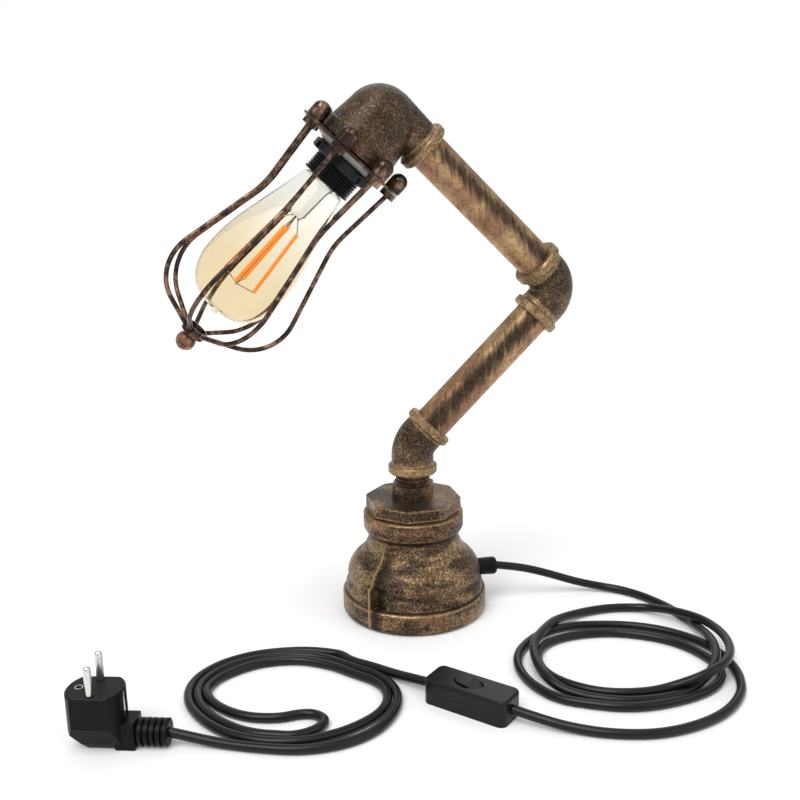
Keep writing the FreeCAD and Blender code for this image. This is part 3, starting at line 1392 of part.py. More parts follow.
for thing in doc.Objects:
    if "Invalid" in thing.State or "Error" in thing.State:
        raise RuntimeError(f"{thing.Label} did not build: {thing.State}")
for thing in parts:
    if thing.Shape.isNull() or not thing.Shape.isValid() or not thing.Shape.Solids:
        raise RuntimeError(f"{thing.Label} has no valid solid")

os.makedirs("parts", exist_ok=True)
for thing in parts:
    thing.Shape.exportStep(f"parts/{thing.Label}.step")
for name, frame in (("pipe", pipe_frame), ("middle", middle_frame), ("head", head_frame), ("cage", cage_frame)):
    axis = frame.Rotation.multVec(Z_AXIS)
    print(name, [round(value, 2) for value in frame.Base], [round(value, 5) for value in axis])
print(len(parts), "parts")
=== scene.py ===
import json
import math

import bpy
from mathutils import Matrix, Vector


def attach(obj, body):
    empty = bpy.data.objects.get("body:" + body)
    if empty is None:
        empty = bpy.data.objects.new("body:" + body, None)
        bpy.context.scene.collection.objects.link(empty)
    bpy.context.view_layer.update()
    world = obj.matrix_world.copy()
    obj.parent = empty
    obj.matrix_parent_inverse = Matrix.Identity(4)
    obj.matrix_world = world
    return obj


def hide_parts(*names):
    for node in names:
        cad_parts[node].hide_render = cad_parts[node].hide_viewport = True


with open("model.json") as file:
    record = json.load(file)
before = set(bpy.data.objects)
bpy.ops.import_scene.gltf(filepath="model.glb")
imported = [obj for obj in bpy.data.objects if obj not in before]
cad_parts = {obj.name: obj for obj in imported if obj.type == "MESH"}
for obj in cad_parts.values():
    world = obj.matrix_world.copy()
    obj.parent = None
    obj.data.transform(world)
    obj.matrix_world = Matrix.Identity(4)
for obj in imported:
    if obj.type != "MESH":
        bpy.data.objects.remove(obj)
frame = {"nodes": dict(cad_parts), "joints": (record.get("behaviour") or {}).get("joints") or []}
nodes = frame["nodes"]
joints = {joint["name"]: joint for joint in frame["joints"]}
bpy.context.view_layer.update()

# ---------------------------------------------------------------- camera
# The eye stands in front of the lamp, a little lower than its head, and looks slightly down at it.
# RIGHT, UP and BACK are the camera's own axes, its place is in millimetres, and its focal length is in
# the same units as the width of the picture.
MM = 0.001
RIGHT = (0.98986, -0.14118, -0.01569)
UP = (0.04989, 0.24209, 0.96897)
BACK = (-0.13300, -0.95993, 0.24668)
CAMERA_AT = (-108.46, -719.36, 350.74)
FOCAL_LENGTH = 1009.43
PICTURE_WIDTH = 800
SENSOR_WIDTH = 36.0

camera_data = bpy.data.cameras.new("camera")
camera_data.sensor_width = SENSOR_WIDTH
camera_data.lens = FOCAL_LENGTH / PICTURE_WIDTH * SENSOR_WIDTH
camera_data.clip_start = 0.02
camera_data.clip_end = 20.0
camera = bpy.data.objects.new("camera", camera_data)
bpy.context.collection.objects.link(camera)
turn = Matrix((RIGHT, UP, BACK)).transposed().to_4x4()
camera.matrix_world = Matrix.Translation(Vector(CAMERA_AT) * MM) @ turn
bpy.context.scene.camera = camera

# ---------------------------------------------------------------- cords
# Two lengths of round cord with a smooth black sheath, 6.2 mm thick: one from the base to the switch and one
# from the switch to the plug. Both are coiled by hand and lie loose on the table, turns over and beside each
# other. Route points are in millimetres, and FLOOR is the height of a strand that lies on the table.
CORD_RADIUS = 3.1
FLOOR = CORD_RADIUS
GLAND_EXIT = (65.2, 0.0, 28.4)
SWITCH_RIGHT_END = (35.1, -172.9, 8.0)
SWITCH_LEFT_END = (-9.1, -133.1, 8.0)
PLUG_END = (-175.4, -163.4, 8.6)

# From the base down to the table, and then three loose turns, lifted where they cross over each other.
CORD_TO_COIL = [
    (84.0, 0.0, 25.6), (108.0, 0.6, 17.6), (130.0, 1.0, 9.0), (149.0, -0.6, 4.2), (166.0, -8.6, FLOOR),
    (180.0, -25.0, FLOOR), (191.0, -47.0, FLOOR), (197.0, -68.0, FLOOR),
]
LOOPS = [
    (195.3, -78.3, 5.5), (196.0, -89.4, 6.5), (195.4, -100.2, 8.3), (194.0, -111.1, 9.5),
    (191.6, -121.8, 9.7), (187.8, -132.2, 9.5), (182.1, -141.5, 8.8), (174.7, -149.4, 6.7),
    (165.7, -155.2, 3.9), (156.7, -161.4, FLOOR), (146.4, -165.5, FLOOR), (135.6, -167.7, FLOOR),
    (124.7, -168.4, FLOOR), (113.6, -167.6, FLOOR), (102.9, -165.0, FLOOR), (92.8, -160.6, 3.2),
    (83.4, -154.8, FLOOR), (74.2, -149.2, 4.7), (67.5, -141.1, 7.5), (64.9, -130.6, 9.4),
    (65.0, -119.6, 9.8), (66.2, -108.7, 10.0), (68.9, -98.0, 10.1), (73.9, -88.2, 10.4),
    (80.3, -79.2, 10.2), (87.0, -70.5, 9.6), (94.1, -62.1, 8.5), (101.9, -54.7, 6.6), (110.7, -48.3, 5.0),
    (120.5, -43.5, 4.0), (131.1, -40.4, 3.6), (142.0, -38.9, 3.5), (153.0, -39.3, 3.5),
    (163.8, -41.1, 3.5), (173.9, -45.4, 4.4), (180.2, -54.0, 6.9), (184.9, -63.7, 9.9),
    (191.7, -72.1, 10.8), (197.6, -81.4, 11.4), (201.4, -91.7, 11.6), (202.8, -102.5, 12.1),
    (202.2, -113.5, 12.8), (199.9, -124.2, 13.5), (196.2, -134.4, 14.4), (190.8, -144.0, 15.3),
    (183.9, -152.4, 15.6), (175.0, -158.9, 15.6), (164.9, -161.9, 13.1), (155.0, -161.7, 9.8),
    (145.3, -159.2, 5.6), (134.4, -159.9, 4.1), (123.5, -160.0, 3.8), (112.7, -158.6, 3.6),
    (102.1, -155.7, 3.4), (92.4, -150.8, 3.3), (83.7, -144.2, 3.3), (76.4, -136.1, 3.2),
    (71.1, -126.5, 3.2), (69.1, -115.7, FLOOR), (69.9, -104.8, FLOOR), (73.7, -94.5, FLOOR),
    (80.5, -86.1, FLOOR), (89.9, -80.3, FLOOR), (100.3, -76.9, FLOOR), (111.2, -75.4, FLOOR),
    (122.2, -75.4, FLOOR), (133.1, -76.8, FLOOR), (143.6, -79.9, FLOOR), (153.5, -84.5, FLOOR),
    (163.1, -90.0, FLOOR), (171.4, -97.1, FLOOR), (178.2, -105.8, FLOOR), (183.2, -115.5, FLOOR),
    (186.5, -126.0, FLOOR), (187.7, -136.9, FLOOR), (184.7, -147.4, FLOOR), (178.4, -156.4, FLOOR),
    (169.7, -163.0, FLOOR), (159.8, -167.8, FLOOR), (149.3, -171.1, FLOOR), (138.6, -173.5, FLOOR),
    (127.7, -175.0, FLOOR), (116.8, -175.2, FLOOR), (105.9, -173.6, FLOOR), (95.4, -170.3, FLOOR),
    (85.4, -165.8, FLOOR), (75.4, -161.3, FLOOR), (66.9, -154.4, FLOOR), (60.9, -145.2, FLOOR),
    (56.7, -135.1, FLOOR), (54.4, -124.4, FLOOR), (54.1, -113.4, FLOOR), (56.0, -102.6, FLOOR),
    (60.3, -92.6, FLOOR), (66.7, -83.7, FLOOR), (74.4, -75.9, FLOOR), (83.1, -69.3, FLOOR),
    (93.0, -64.7, FLOOR), (103.7, -62.2, FLOOR), (114.7, -61.8, FLOOR), (125.5, -63.0, FLOOR),
    (136.4, -64.8, FLOOR), (147.0, -67.4, FLOOR), (157.2, -71.4, FLOOR), (166.8, -76.6, FLOOR),
    (175.6, -83.2, FLOOR), (183.3, -91.1, FLOOR), (189.8, -99.9, FLOOR), (194.6, -109.8, FLOOR),
    (197.2, -120.4, FLOOR), (198.0, -131.3, FLOOR), (197.3, -142.3, FLOOR),
]
CORD_TO_SWITCH = [
    (195.0, -153.0, FLOOR), (188.0, -170.0, FLOOR), (170.0, -189.0, FLOOR), (146.0, -201.0, FLOOR),
    (117.0, -206.5, FLOOR), (88.0, -201.0, FLOOR), (66.0, -191.5, 3.9), (49.5, -183.5, 6.6),
]

# From the switch a flat spiral inwards, a fold, and the same way out between its own turns to the plug.
CORD_FROM_SWITCH = [
    (-20.5, -122.5, 6.6), (-32.0, -109.0, 4.0), (-45.0, -95.5, FLOOR), (-58.0, -86.0, FLOOR),
]
SPIRAL_IN = [
    (-63.3, -76.1, FLOOR), (-73.0, -71.2, FLOOR), (-83.3, -67.4, FLOOR), (-94.0, -65.3, FLOOR),
    (-105.0, -64.8, FLOOR), (-116.1, -65.0, FLOOR), (-126.9, -66.9, FLOOR), (-137.4, -70.6, FLOOR),
    (-147.3, -75.8, FLOOR), (-155.6, -83.2, FLOOR), (-162.5, -92.0, FLOOR), (-166.5, -102.4, FLOOR),
    (-167.6, -113.4, FLOOR), (-166.0, -124.4, FLOOR), (-161.9, -134.8, FLOOR), (-156.4, -144.5, FLOOR),
    (-149.7, -153.5, FLOOR), (-141.9, -161.3, FLOOR), (-132.8, -167.5, FLOOR), (-123.1, -172.6, FLOOR),
    (-112.6, -175.9, FLOOR), (-101.8, -177.7, FLOOR), (-90.9, -177.6, FLOOR), (-80.3, -175.0, FLOOR),
    (-70.0, -171.7, FLOOR), (-60.5, -166.5, FLOOR), (-51.8, -160.4, FLOOR), (-44.5, -152.5, FLOOR),
    (-40.0, -143.0, FLOOR), (-38.5, -132.6, FLOOR), (-40.5, -122.3, FLOOR), (-46.3, -113.4, FLOOR),
    (-54.3, -106.6, FLOOR), (-61.9, -99.2, FLOOR), (-69.6, -91.7, FLOOR), (-78.3, -86.1, FLOOR),
    (-87.6, -80.9, FLOOR), (-97.7, -78.2, FLOOR), (-108.3, -77.7, FLOOR), (-118.9, -78.4, FLOOR),
    (-129.0, -81.7, FLOOR), (-138.4, -86.8, FLOOR), (-147.0, -93.1, FLOOR), (-153.5, -101.6, FLOOR),
]
CORD_FOLD = [
    (-157.0, -112.0, FLOOR), (-148.5, -130.5, FLOOR), (-131.0, -145.5, FLOOR), (-110.0, -150.5, FLOOR),
    (-97.0, -147.5, FLOOR), (-86.5, -148.8, FLOOR), (-79.5, -158.0, FLOOR), (-87.5, -168.0, FLOOR),
    (-101.0, -172.0, FLOOR),
]
SPIRAL_OUT = [
    (-111.6, -169.1, FLOOR), (-122.1, -166.1, FLOOR), (-131.8, -161.0, FLOOR), (-140.3, -154.0, FLOOR),
    (-147.7, -145.9, FLOOR), (-153.9, -136.8, FLOOR), (-158.6, -126.9, FLOOR), (-161.2, -116.3, FLOOR),
    (-161.2, -105.4, FLOOR), (-157.2, -95.2, FLOOR), (-150.3, -86.5, FLOOR), (-141.6, -79.9, FLOOR),
    (-131.6, -75.3, FLOOR), (-121.1, -72.4, FLOOR), (-110.3, -71.5, FLOOR), (-99.4, -71.6, FLOOR),
    (-88.8, -73.4, FLOOR), (-78.6, -77.2, FLOOR), (-69.8, -83.3, FLOOR), (-61.7, -90.7, FLOOR),
    (-53.4, -98.1, FLOOR), (-45.0, -105.0, FLOOR), (-38.3, -113.3, FLOOR), (-34.0, -123.1, FLOOR),
    (-32.0, -133.6, FLOOR), (-33.2, -144.4, FLOOR), (-37.0, -154.6, FLOOR), (-42.5, -164.1, FLOOR),
    (-49.5, -172.4, FLOOR), (-58.3, -178.9, FLOOR), (-68.3, -183.5, FLOOR), (-79.0, -186.1, FLOOR),
    (-89.9, -186.9, FLOOR), (-100.8, -186.2, FLOOR), (-111.5, -183.6, FLOOR),
]
CORD_TO_PLUG = [
    (-122.0, -180.5, FLOOR), (-139.0, -174.5, FLOOR), (-155.0, -168.5, 4.2),
]

lamp_route = [GLAND_EXIT, *CORD_TO_COIL, *LOOPS, *CORD_TO_SWITCH, SWITCH_RIGHT_END]
plug_route = [SWITCH_LEFT_END, *CORD_FROM_SWITCH, *SPIRAL_IN, *CORD_FOLD, *SPIRAL_OUT, *CORD_TO_PLUG,
              PLUG_END]


class Socket:
    """An output of a node, so that shader maths reads as plain arithmetic."""

    def __init__(self, tree, output):
        self.tree = tree
        self.output = output

    def __add__(self, other):
        return self.tree.maths("ADD", self, other)

    def __sub__(self, other):
        return self.tree.maths("SUBTRACT", self, other)

    def __rsub__(self, other):
        return self.tree.maths("SUBTRACT", other, self)

    def __mul__(self, other):
        return self.tree.maths("MULTIPLY", self, other)

    __radd__ = __add__
    __rmul__ = __mul__

    def __abs__(self):
        return self.tree.maths("ABSOLUTE", self)

    def ramp(self, low, high, to_low=0.0, to_high=1.0):
        """Carry the range low to high smoothly onto to_low to to_high."""
        return self.tree.node("ShaderNodeMapRange", {"interpolation_type": "SMOOTHSTEP"},
                              {"Value": self, "From Min": low, "From Max": high,
                               "To Min": to_low, "To Max": to_high})


class Tree:
    """The nodes of a material or of the surroundings."""

    def __init__(self, node_tree):
        self.node_tree = node_tree

    def join(self, slot, value):
        """Link a socket to an input, or set the input to a plain value."""
        if isinstance(value, Socket):
            self.node_tree.links.new(value.output, slot)
        else:
            slot.default_value = value

    def node(self, kind, settings=None, inputs=None, output=0):
        """Add a node of a type with its settings and inputs. Returns one of its outputs, if it has any."""
        made = self.node_tree.nodes.new(kind)
        for name, value in (settings or {}).items():
            setattr(made, name, value)
        for name, value in (inputs or {}).items():
            self.join(made.inputs[name], value)
        return Socket(self, made.outputs[output]) if made.outputs else made

    def maths(self, operation, *values):
        return self.node("ShaderNodeMath", {"operation": operation}, dict(enumerate(values)))


class Paint(Tree):
    """A material whose principled shader takes numbers, colours and patterns that lie still on the object."""

    def __init__(self, name):
        self.material = bpy.data.materials.new(name)
        self.material.use_nodes = True
        super().__init__(self.material.node_tree)
        self.shader = next(node for node in self.node_tree.nodes if node.type == "BSDF_PRINCIPLED")

    def set(self, **inputs):
        """Feed the shader's inputs, named with underscores for spaces."""
        for name, value in inputs.items():
            self.join(self.shader.inputs[name.replace("_", " ")], value)
        return self

    def place(self, scale=(1.0, 1.0, 1.0), turn=(0.0, 0.0, 0.0)):
        """The point on the object, in metres, turned and then stretched."""
        point = self.node("ShaderNodeTexCoord", output="Object")
        turned = self.node("ShaderNodeMapping", inputs={"Vector": point, "Rotation": turn})
        return self.node("ShaderNodeMapping", inputs={"Vector": turned, "Scale": scale})

    def noise(self, scale, detail=2.0, roughness=0.5, distortion=0.0, at=None):
        """Clouds with so many cells per metre."""
        return self.node("ShaderNodeTexNoise", inputs={
            "Scale": scale, "Detail": detail, "Roughness": roughness, "Distortion": distortion,
            "Vector": at or self.place()})

    def along(self, direction, origin=(0.0, 0.0, 0.0)):
        """Distance of the point from the origin along a direction, in metres."""
        shifted = self.node("ShaderNodeVectorMath", {"operation": "SUBTRACT"}, {0: self.place(), 1: origin})
        return self.node("ShaderNodeVectorMath", {"operation": "DOT_PRODUCT"}, {0: shifted, 1: direction},
                         output="Value")

    def mix(self, factor, first, second):
        """A colour between two colours."""
        return self.node("ShaderNodeMix", {"data_type": "RGBA"}, {"Factor": factor, 6: first, 7: second},
                         output=2)

    def bump(self, height, strength, distance):
        """The surface's direction where a height, times a distance in metres, dents it."""
        return self.node("ShaderNodeBump",
                         inputs={"Height": height, "Strength": strength, "Distance": distance})


def rgb(red, green, blue):
    return (red, green, blue, 1.0)


sheath = Paint("cord_sheath")
sheath.set(Base_Color=rgb(0.006, 0.006, 0.007), Roughness=0.30, Specular_IOR_Level=0.28)


def lay_cord(name, points):
    """A round cord along the points, drawn as one open spline. Its thickness is the bevel's depth, in
    millimetres, times the radius of the points, which makes it metres."""
    data = bpy.data.curves.new(name, "CURVE")
    data.dimensions = "3D"
    data.bevel_depth = CORD_RADIUS
    data.bevel_resolution = 5
    data.use_fill_caps = True
    spline = data.splines.new("NURBS")
    spline.points.add(len(points) - 1)
    for point, place in zip(spline.points, points):
        point.co = (*Vector(place) * MM, 1.0)
        point.radius = MM
    spline.order_u = 3
    spline.use_endpoint_u = True
    spline.resolution_u = 6
    cord = bpy.data.objects.new(name, data)
    bpy.context.collection.objects.link(cord)
    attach(cord, "base")
    return cord


lamp_cord = lay_cord("lamp_cord", lamp_route)
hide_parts("cord_to_coil", "coil_right", "cord_to_switch")
plug_cord = lay_cord("plug_cord", plug_route)
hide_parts("cord_from_switch", "coil_left", "cord_fold", "cord_to_plug")
for cord in (lamp_cord, plug_cord):
    cord.data.materials.append(sheath.material)

# ---------------------------------------------------------------- switch
# The inline switch is two halves of hard black plastic that close over the cord. Its rocker is of the same
# plastic and tips on a steel pin that spans the cover.
SMOOTH_ANGLE = math.radians(30.0)


def give(paint, *names):
    """Dress pieces in a paint and shade their curved faces smooth."""
    for name in names:
        mesh = nodes[name].data
        mesh.materials.clear()
        mesh.materials.append(paint.material)
        mesh.shade_smooth()
        mesh.set_sharp_from_angle(angle=SMOOTH_ANGLE)


black = Paint("black_moulding")
black.set(Base_Color=rgb(0.005, 0.006, 0.008), Roughness=0.30, Specular_IOR_Level=0.24)
zinc = Paint("zinc_steel").set(Base_Color=rgb(0.52, 0.52, 0.50), Metallic=1.0, Roughness=0.35)
give(black, "switch_base", "switch_cover", "switch_rocker")
give(zinc, "rocker_pin")

# ---------------------------------------------------------------- plug and cord outlet
# The plug is soft rubber moulded onto the cord, with a ribbed tail, two nickel-plated pins and two side clips
# for the earth. Where the cord leaves the base, a rubber gland is held by a plastic nut inside the wall.
RUBBER_GRAIN = 1400.0

rubber = Paint("moulded_rubber")
rubber.set(Base_Color=rgb(0.005, 0.005, 0.006), Roughness=0.38, Specular_IOR_Level=0.12,
           Normal=rubber.bump(rubber.noise(RUBBER_GRAIN), 0.1, 0.0002))
nickel = Paint("nickel").set(Base_Color=rgb(0.70, 0.69, 0.66), Metallic=1.0, Roughness=0.22)
give(rubber, "plug_body", "cord_gland")
give(nickel, "plug_pins", "plug_earth_clips")
give(black, "gland_nut")

# ---------------------------------------------------------------- base
# The base is a cast iron bell reducer that stands on its wide mouth. Its dark, crackled skin is rubbed to
# copper and gold in patches, carries painted highlights in gold along its edges and painted shadows next to
# them, and a raised seam runs down its front left, with a painted highlight and a painted shadow along it. A
# steel cover is screwed into it from below, under the terminal block, and a rubber pad keeps it off the
# table.
DARK = rgb(0.014, 0.009, 0.006)
BROWN = rgb(0.125, 0.080, 0.050)
COPPER = rgb(0.370, 0.195, 0.110)
GOLD = rgb(0.500, 0.330, 0.165)

# Patterns of the cast skin, in cells per metre.
CRACKLE = 500.0
FLECKS = 900.0
PATCHES = 30.0
HUES = 22.0
HUE_TURN = (0.4, 0.2, 0.9)

# The soft edge of a band of painted highlight or painted shade, outside and inside its limit, in metres.
EDGE_OUTSIDE = 0.0006
EDGE_INSIDE = 0.0002

UP_AXIS = Vector((0.0, 0.0, 1.0))
ON_TABLE = Vector((0.0, 0.0, 0.0))
SEAM_AZIMUTH = math.radians(-135)
SEAM_OUT = Vector((math.cos(SEAM_AZIMUTH), math.sin(SEAM_AZIMUTH), 0.0))
SEAM_ACROSS = UP_AXIS.cross(SEAM_OUT)

# Heights of the base's painted highlights along its edges and of the painted shadows next to them, in
# millimetres.
BASE_HIGHLIGHTS = ((15.4, 16.6), (66.3, 67.4), (78.6, 79.8))
BASE_SHADOWS = ((16.8, 18.2), (63.2, 65.8))


def band(paint, direction, origin, low, high):
    """1 between two distances along a direction, given in millimetres, and 0 beyond its soft edges."""
    reach = paint.along(direction, origin)
    begun = reach.ramp(low * MM - EDGE_OUTSIDE, low * MM + EDGE_INSIDE)
    ended = reach.ramp(high * MM - EDGE_INSIDE, high * MM + EDGE_OUTSIDE)
    return begun * (1 - ended)


def light_and_shade_seam(paint, colour):
    """Painted highlight in gold along the seam's raised edge and a painted shadow beside it, below the neck.
    """
    across = paint.along(SEAM_ACROSS)
    shade = across.ramp(0.0012, 0.0020) * (1 - across.ramp(0.0045, 0.0120))
    ridge_highlight = across.ramp(-0.0022, -0.0016) * (1 - across.ramp(-0.0008, 0.0004))
    front = paint.along(SEAM_OUT).ramp(0.004, 0.010) * (1 - paint.along(UP_AXIS).ramp(0.050, 0.064))
    colour = paint.mix(shade * front * 0.85, colour, DARK)
    return paint.mix(ridge_highlight * front * 0.7, colour, GOLD)


def cast_paint(name, worn=0.0, stretch=1.0, highlight_bands=(), shade_bands=(), seam=False):
    """The skin of a casting. More of it shows metal where it is worn, and stretch flattens its patches.
    Highlight bands are painted highlights in gold and shade bands are painted shade, each given as band()
    takes it."""
    paint = Paint(name)
    crackle = abs(paint.noise(CRACKLE, detail=1.0, roughness=0.4, distortion=0.6) - 0.5).ramp(0.026, 0.070)
    patches = paint.noise(PATCHES, detail=3.0, roughness=0.6, at=paint.place(scale=(1.0, 1.0, stretch)))
    hue = paint.noise(HUES, distortion=0.8, at=paint.place(turn=HUE_TURN))
    fleck = paint.noise(FLECKS, roughness=0.6)

    rubbed = paint.mix(hue.ramp(0.38, 0.62), COPPER, GOLD)
    skin = paint.mix(patches.ramp(0.54 - worn, 0.78 - worn), BROWN, rubbed)
    grooves = crackle * patches.ramp(0.30, 0.70, 0.95, 0.70)
    # Painted highlight: gold over each band, broken by flecks, with the dark grooves faded there.
    for rim in highlight_bands:
        painted_highlight = band(paint, *rim) * fleck.ramp(0.35, 0.6, 0.45, 1.0)
        skin = paint.mix(painted_highlight, skin, GOLD)
        grooves = grooves * painted_highlight.ramp(0.0, 1.0, 1.0, 0.62)
    colour = paint.mix(grooves, skin, DARK)
    colour = paint.mix(fleck.ramp(0.60, 0.70, 0.0, 0.4), colour, GOLD)
    # Painted shade: dark over each shade band.
    for shade_band in shade_bands:
        colour = paint.mix(band(paint, *shade_band) * 0.8, colour, DARK)
    # Painted highlight and painted shadow along the base's seam.
    if seam:
        colour = light_and_shade_seam(paint, colour)
    return paint.set(Base_Color=colour, Metallic=0.75, Roughness=patches.ramp(0.3, 0.7, 0.46, 0.34),
                     Normal=paint.bump(fleck * 0.3 - crackle, 0.6, 0.0004))


# Painted highlights in gold on the base's edges, and painted shadows next to them.
give(cast_paint("cast_base", worn=0.16, stretch=3.5, seam=True,
                highlight_bands=[(UP_AXIS, ON_TABLE, *edge) for edge in BASE_HIGHLIGHTS],
                shade_bands=[(UP_AXIS, ON_TABLE, *shadow) for shadow in BASE_SHADOWS]), "base_reducer")
give(rubber, "base_pad")
give(zinc, "base_cover", "cover_screws")
give(Paint("white_nylon").set(Base_Color=rgb(0.8, 0.8, 0.78), Roughness=0.5), "terminal_block")

# ---------------------------------------------------------------- bushing and nipple
# A cast bushing with an octagon collar is screwed into the base's narrow end, and a short hexagon nipple into
# the bushing. They have the base's finish, with painted highlights in gold along the collar's two edges.
COLLAR_HIGHLIGHTS = ((80.6, 81.7), (88.9, 89.7))

# Painted highlights in gold on the collar's edges.
give(cast_paint("cast_bushing", worn=0.12, highlight_bands=[(UP_AXIS, ON_TABLE, *edge) for edge in COLLAR_HIGHLIGHTS]),
     "octagon_bushing", "hex_nipple")

# ---------------------------------------------------------------- elbows
# Three cast elbows join the arm: one of 45 degrees that turns on the nipple, one of 90 degrees in the middle,
# and one that widens to the head's mouth. A thick rolled rim ends each threaded mouth, with a painted
# highlight in gold on it. Each rim lies between two distances from the elbow's centre, in millimetres.
BASE_ELBOW_AT = Vector(joints["base_swivel"]["pos_m"])
MIDDLE_AT = Vector(joints["middle_swivel"]["pos_m"])
HEAD_AT = Vector(joints["head_swivel"]["pos_m"])
LOWER_AXIS = Vector(joints["middle_swivel"]["axis"])
UPPER_AXIS = Vector(joints["head_swivel"]["axis"])
BASE_ELBOW_RIM = (13.0, 22.0)
MIDDLE_RIM = (19.5, 32.0)
HEAD_RIM = (27.0, 40.0)

# Painted highlights in gold on each elbow's mouth rim.
give(cast_paint("cast_elbow_45", worn=0.08,
                highlight_bands=[(-UP_AXIS, BASE_ELBOW_AT, *BASE_ELBOW_RIM),
                      (LOWER_AXIS, BASE_ELBOW_AT, *BASE_ELBOW_RIM)]),
     "elbow_45")
give(cast_paint("cast_elbow_middle",
                highlight_bands=[(-LOWER_AXIS, MIDDLE_AT, *MIDDLE_RIM), (UPPER_AXIS, MIDDLE_AT, *MIDDLE_RIM)]),
     "elbow_middle")
give(cast_paint("cast_elbow_head", highlight_bands=[(-UPPER_AXIS, HEAD_AT, *HEAD_RIM)]), "head_elbow")

# ---------------------------------------------------------------- pipes
# Two steel pipes, threaded at both ends, are painted dark and then wiped with gold on a slant, so that fine
# slanted hatching shows. Along one line of each, at a fixed place as seen from the front, less gold is mixed
# in:
# a painted shade stripe.
PIPE_RADIUS = 0.01345
PIPE_DARK = rgb(0.040, 0.026, 0.017)
FRONT = Vector(BACK)

# Cells per metre: of the hatching along a stroke, across it and into the pipe, of patches and of crackle.
STROKE_GRAIN = (60.0, 420.0, 160.0)
PIPE_PATCHES = 48.0
PIPE_CRACKLE = 360.0


def pipe_paint(name, axis, start, shade_stripe_at, shade_stripe_width, slant):
    """Gold wiped over dark along strokes that lean by slant, in radians, from the pipe's axis. The painted
    shade stripe's place and half width are in pipe radii, seen from the front."""
    paint = Paint(name)
    side = axis.cross(FRONT).normalized()
    stroke = (Matrix.Rotation(slant, 3, FRONT) @ axis).normalized()
    across = stroke.cross(FRONT).normalized()
    depth = stroke.cross(across).normalized()
    x, y, z = (paint.along(way) * grain for way, grain in zip((stroke, across, depth), STROKE_GRAIN))
    wiped = paint.node("ShaderNodeCombineXYZ", inputs={"X": x, "Y": y, "Z": z})
    hatch = paint.noise(1.0, detail=3.0, roughness=0.6, at=wiped)
    patches = paint.noise(PIPE_PATCHES, detail=3.0, roughness=0.6)
    # Painted shade: less gold along a stripe at a fixed place across the pipe as seen from the front.
    from_shade_stripe = abs(paint.along(side, start) * (1 / PIPE_RADIUS) - shade_stripe_at)
    off_shade_stripe = from_shade_stripe.ramp(shade_stripe_width - 0.35, shade_stripe_width + 0.35)
    cover = (hatch * 1.1 + off_shade_stripe * 0.55 + patches * 0.35 - 0.62).ramp(0.08, 0.74)
    crackle = abs(paint.noise(PIPE_CRACKLE, detail=1.0, roughness=0.4, distortion=0.4) - 0.5).ramp(0.0, 0.09)
    colour = paint.mix(cover, PIPE_DARK, paint.mix(patches.ramp(0.4, 0.6), COPPER, GOLD))
    colour = paint.mix(crackle.ramp(0.0, 1.0, 0.55, 0.0), colour, BROWN)
    return paint.set(Base_Color=colour, Metallic=0.8, Roughness=hatch.ramp(0.3, 0.7, 0.46, 0.36),
                     Normal=paint.bump(hatch + crackle * 0.3, 0.35, 0.0004))


give(pipe_paint("lower_pipe_bronze", LOWER_AXIS, BASE_ELBOW_AT, shade_stripe_at=0.0, shade_stripe_width=0.45, slant=0.75),
     "lower_pipe")
give(pipe_paint("upper_pipe_bronze", UPPER_AXIS, MIDDLE_AT, shade_stripe_at=0.30, shade_stripe_width=0.30, slant=-0.75),
     "upper_pipe")

# ---------------------------------------------------------------- cage
# Seven bent steel wires hang from a ring plate, each held by a cap nut above the plate and a lock nut below.
# Their lower ends meet in a small cup that a screwed ball closes. All of it is dark bronze, worn in spots.
# The plate is screwed to the head elbow's mouth.
CAGE_WEAR = 120.0
BALL_WEAR = 150.0

bronze = Paint("dark_bronze")
wear = bronze.noise(CAGE_WEAR, detail=3.0, roughness=0.65, distortion=0.4)
bronze.set(Base_Color=bronze.mix(wear.ramp(0.44, 0.66), rgb(0.040, 0.026, 0.020), rgb(0.27, 0.155, 0.105)),
           Metallic=0.85, Roughness=0.26, Normal=bronze.bump(wear, 0.2, 0.0003))
give(bronze, "cage_plate", "cage_cap_nuts", "cage_lock_nuts", "cage_cup",
     *[name for name in nodes if name.startswith("cage_wire_")])

ball = Paint("worn_copper")
spots = ball.noise(BALL_WEAR, detail=3.0, roughness=0.6)
ball.set(Base_Color=ball.mix(spots.ramp(0.35, 0.65), rgb(0.10, 0.05, 0.035), rgb(0.36, 0.18, 0.115)),
         Metallic=0.75, Roughness=0.38, Normal=ball.bump(spots, 0.2, 0.0003))
give(ball, "finial_ball")
give(zinc, "plate_screws", "finial_screw")

# ---------------------------------------------------------------- lamp holder
# A holder of hard black plastic is fixed in the mouth of the head elbow, below a pale steel dish. Its
# threaded skirt carries a ring for a shade, and a brass shell and contact inside it take the bulb's cap.
give(black, "lamp_holder", "shade_ring")
give(Paint("grey_steel").set(Base_Color=rgb(0.42, 0.42, 0.41), Metallic=0.3, Roughness=0.4), "holder_dish")
brass = Paint("bright_brass").set(Base_Color=rgb(0.72, 0.55, 0.28), Metallic=1.0, Roughness=0.28)
give(brass, "holder_shell", "holder_contact")

# ---------------------------------------------------------------- bulb
# A pear-shaped bulb of thin blown glass, clear at its neck and amber at its belly, on a brass screw cap. Four
# long filament strips glow faintly between wires that a clear glass stem carries.
HEAD_AXIS = Vector((-0.68703, 0.06532, -0.72369))
CLEAR_TO = 0.066
AMBER_FROM = 0.150

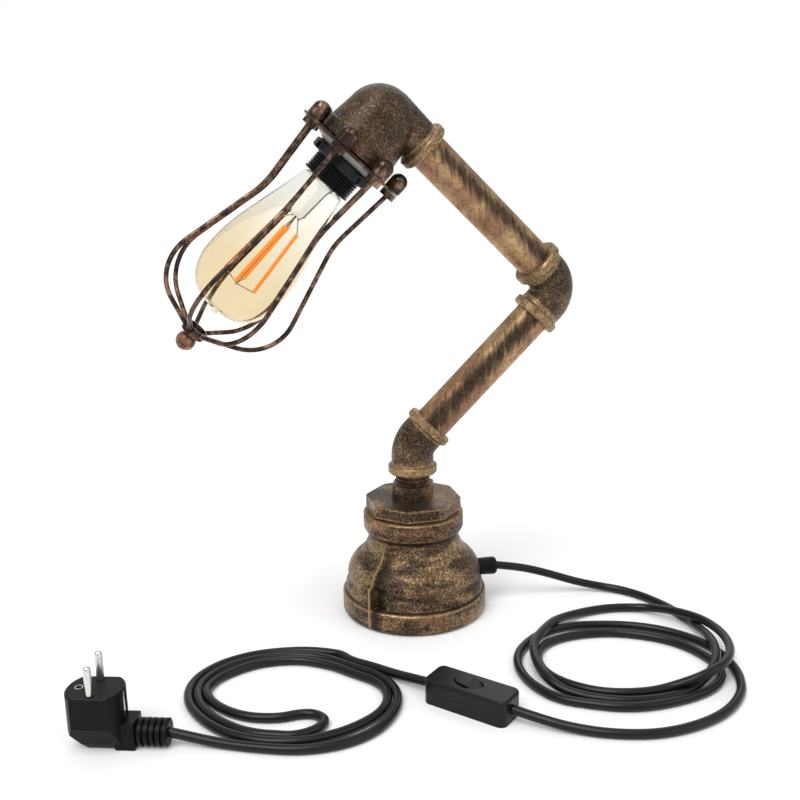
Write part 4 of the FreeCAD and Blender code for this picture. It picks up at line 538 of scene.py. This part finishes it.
glass = Paint("amber_glass")
amber = glass.along(HEAD_AXIS, HEAD_AT).ramp(CLEAR_TO, AMBER_FROM)
glass.set(Base_Color=glass.mix(amber, rgb(0.94, 0.94, 0.91), rgb(0.87, 0.79, 0.63)), Roughness=0.02, IOR=1.12,
          Transmission_Weight=1.0)
give(glass, "bulb_glass")
stem = Paint("clear_glass")
stem.set(Base_Color=rgb(0.93, 0.93, 0.90), Roughness=0.05, IOR=1.2, Transmission_Weight=1.0)
give(stem, "bulb_stem")
filament = Paint("filament").set(Base_Color=rgb(0.55, 0.19, 0.03), Roughness=0.5,
                                 Emission_Color=rgb(1.0, 0.27, 0.03), Emission_Strength=0.7)
give(filament, "bulb_filaments")
solder = Paint("solder").set(Base_Color=rgb(0.30, 0.27, 0.22), Metallic=0.9, Roughness=0.4)
give(solder, "bulb_contact", "bulb_support_wires")
give(Paint("black_glass").set(Base_Color=rgb(0.02, 0.02, 0.02), Roughness=0.3), "bulb_insulator")
give(brass, "bulb_cap")

# ---------------------------------------------------------------- table and light
# The lamp stands on a plain pale table top, under one broad main light from the front left and three weaker
# ones. All around is white, which lights the lamp less than it shows behind it and through the bulb.
TABLE_SIZE = 12.0
SURROUND_SEEN = 1.0
SURROUND_LIGHT = 0.60

bpy.ops.object.select_all(action="DESELECT")
bpy.ops.mesh.primitive_plane_add(size=TABLE_SIZE, location=(0, 0, 0))
floor = bpy.context.object
floor.name = "floor"
pale = Paint("floor").set(Base_Color=rgb(0.90, 0.90, 0.90), Roughness=0.7, Specular_IOR_Level=0.0)
floor.data.materials.append(pale.material)


def soft_sun(name, towards, spread, power):
    """A broad far light that shines along a direction. Its spread is in degrees."""
    data = bpy.data.lights.new(name, "SUN")
    data.angle = math.radians(spread)
    data.energy = power
    sun = bpy.data.objects.new(name, data)
    bpy.context.collection.objects.link(sun)
    sun.rotation_euler = Vector(towards).to_track_quat("-Z", "Y").to_euler()


soft_sun("key", (0.45, 0.55, -1.0), spread=36, power=1.6)
soft_sun("fill", (-0.9, 0.7, -0.7), spread=50, power=0.5)
soft_sun("rim", (-0.2, -0.9, -0.8), spread=50, power=0.4)
soft_sun("top", (0.05, 0.10, -1.0), spread=16, power=0.35)

world = bpy.data.worlds.new("studio")
world.use_nodes = True
world.node_tree.nodes.clear()
bpy.context.scene.world = world
studio = Tree(world.node_tree)
white = rgb(1.0, 1.0, 1.0)
looked_at = studio.node("ShaderNodeLightPath", output="Is Camera Ray")
looked_through = studio.node("ShaderNodeLightPath", output="Is Transmission Ray")
surround = studio.node("ShaderNodeMixShader", inputs={
    0: studio.maths("MAXIMUM", looked_at, looked_through),
    1: studio.node("ShaderNodeBackground", inputs={"Color": white, "Strength": SURROUND_LIGHT}),
    2: studio.node("ShaderNodeBackground", inputs={"Color": white, "Strength": SURROUND_SEEN})})
studio.node("ShaderNodeOutputWorld", inputs={"Surface": surround})

bpy.context.scene.view_settings.view_transform = "Standard"
bpy.context.scene.view_settings.look = "None"
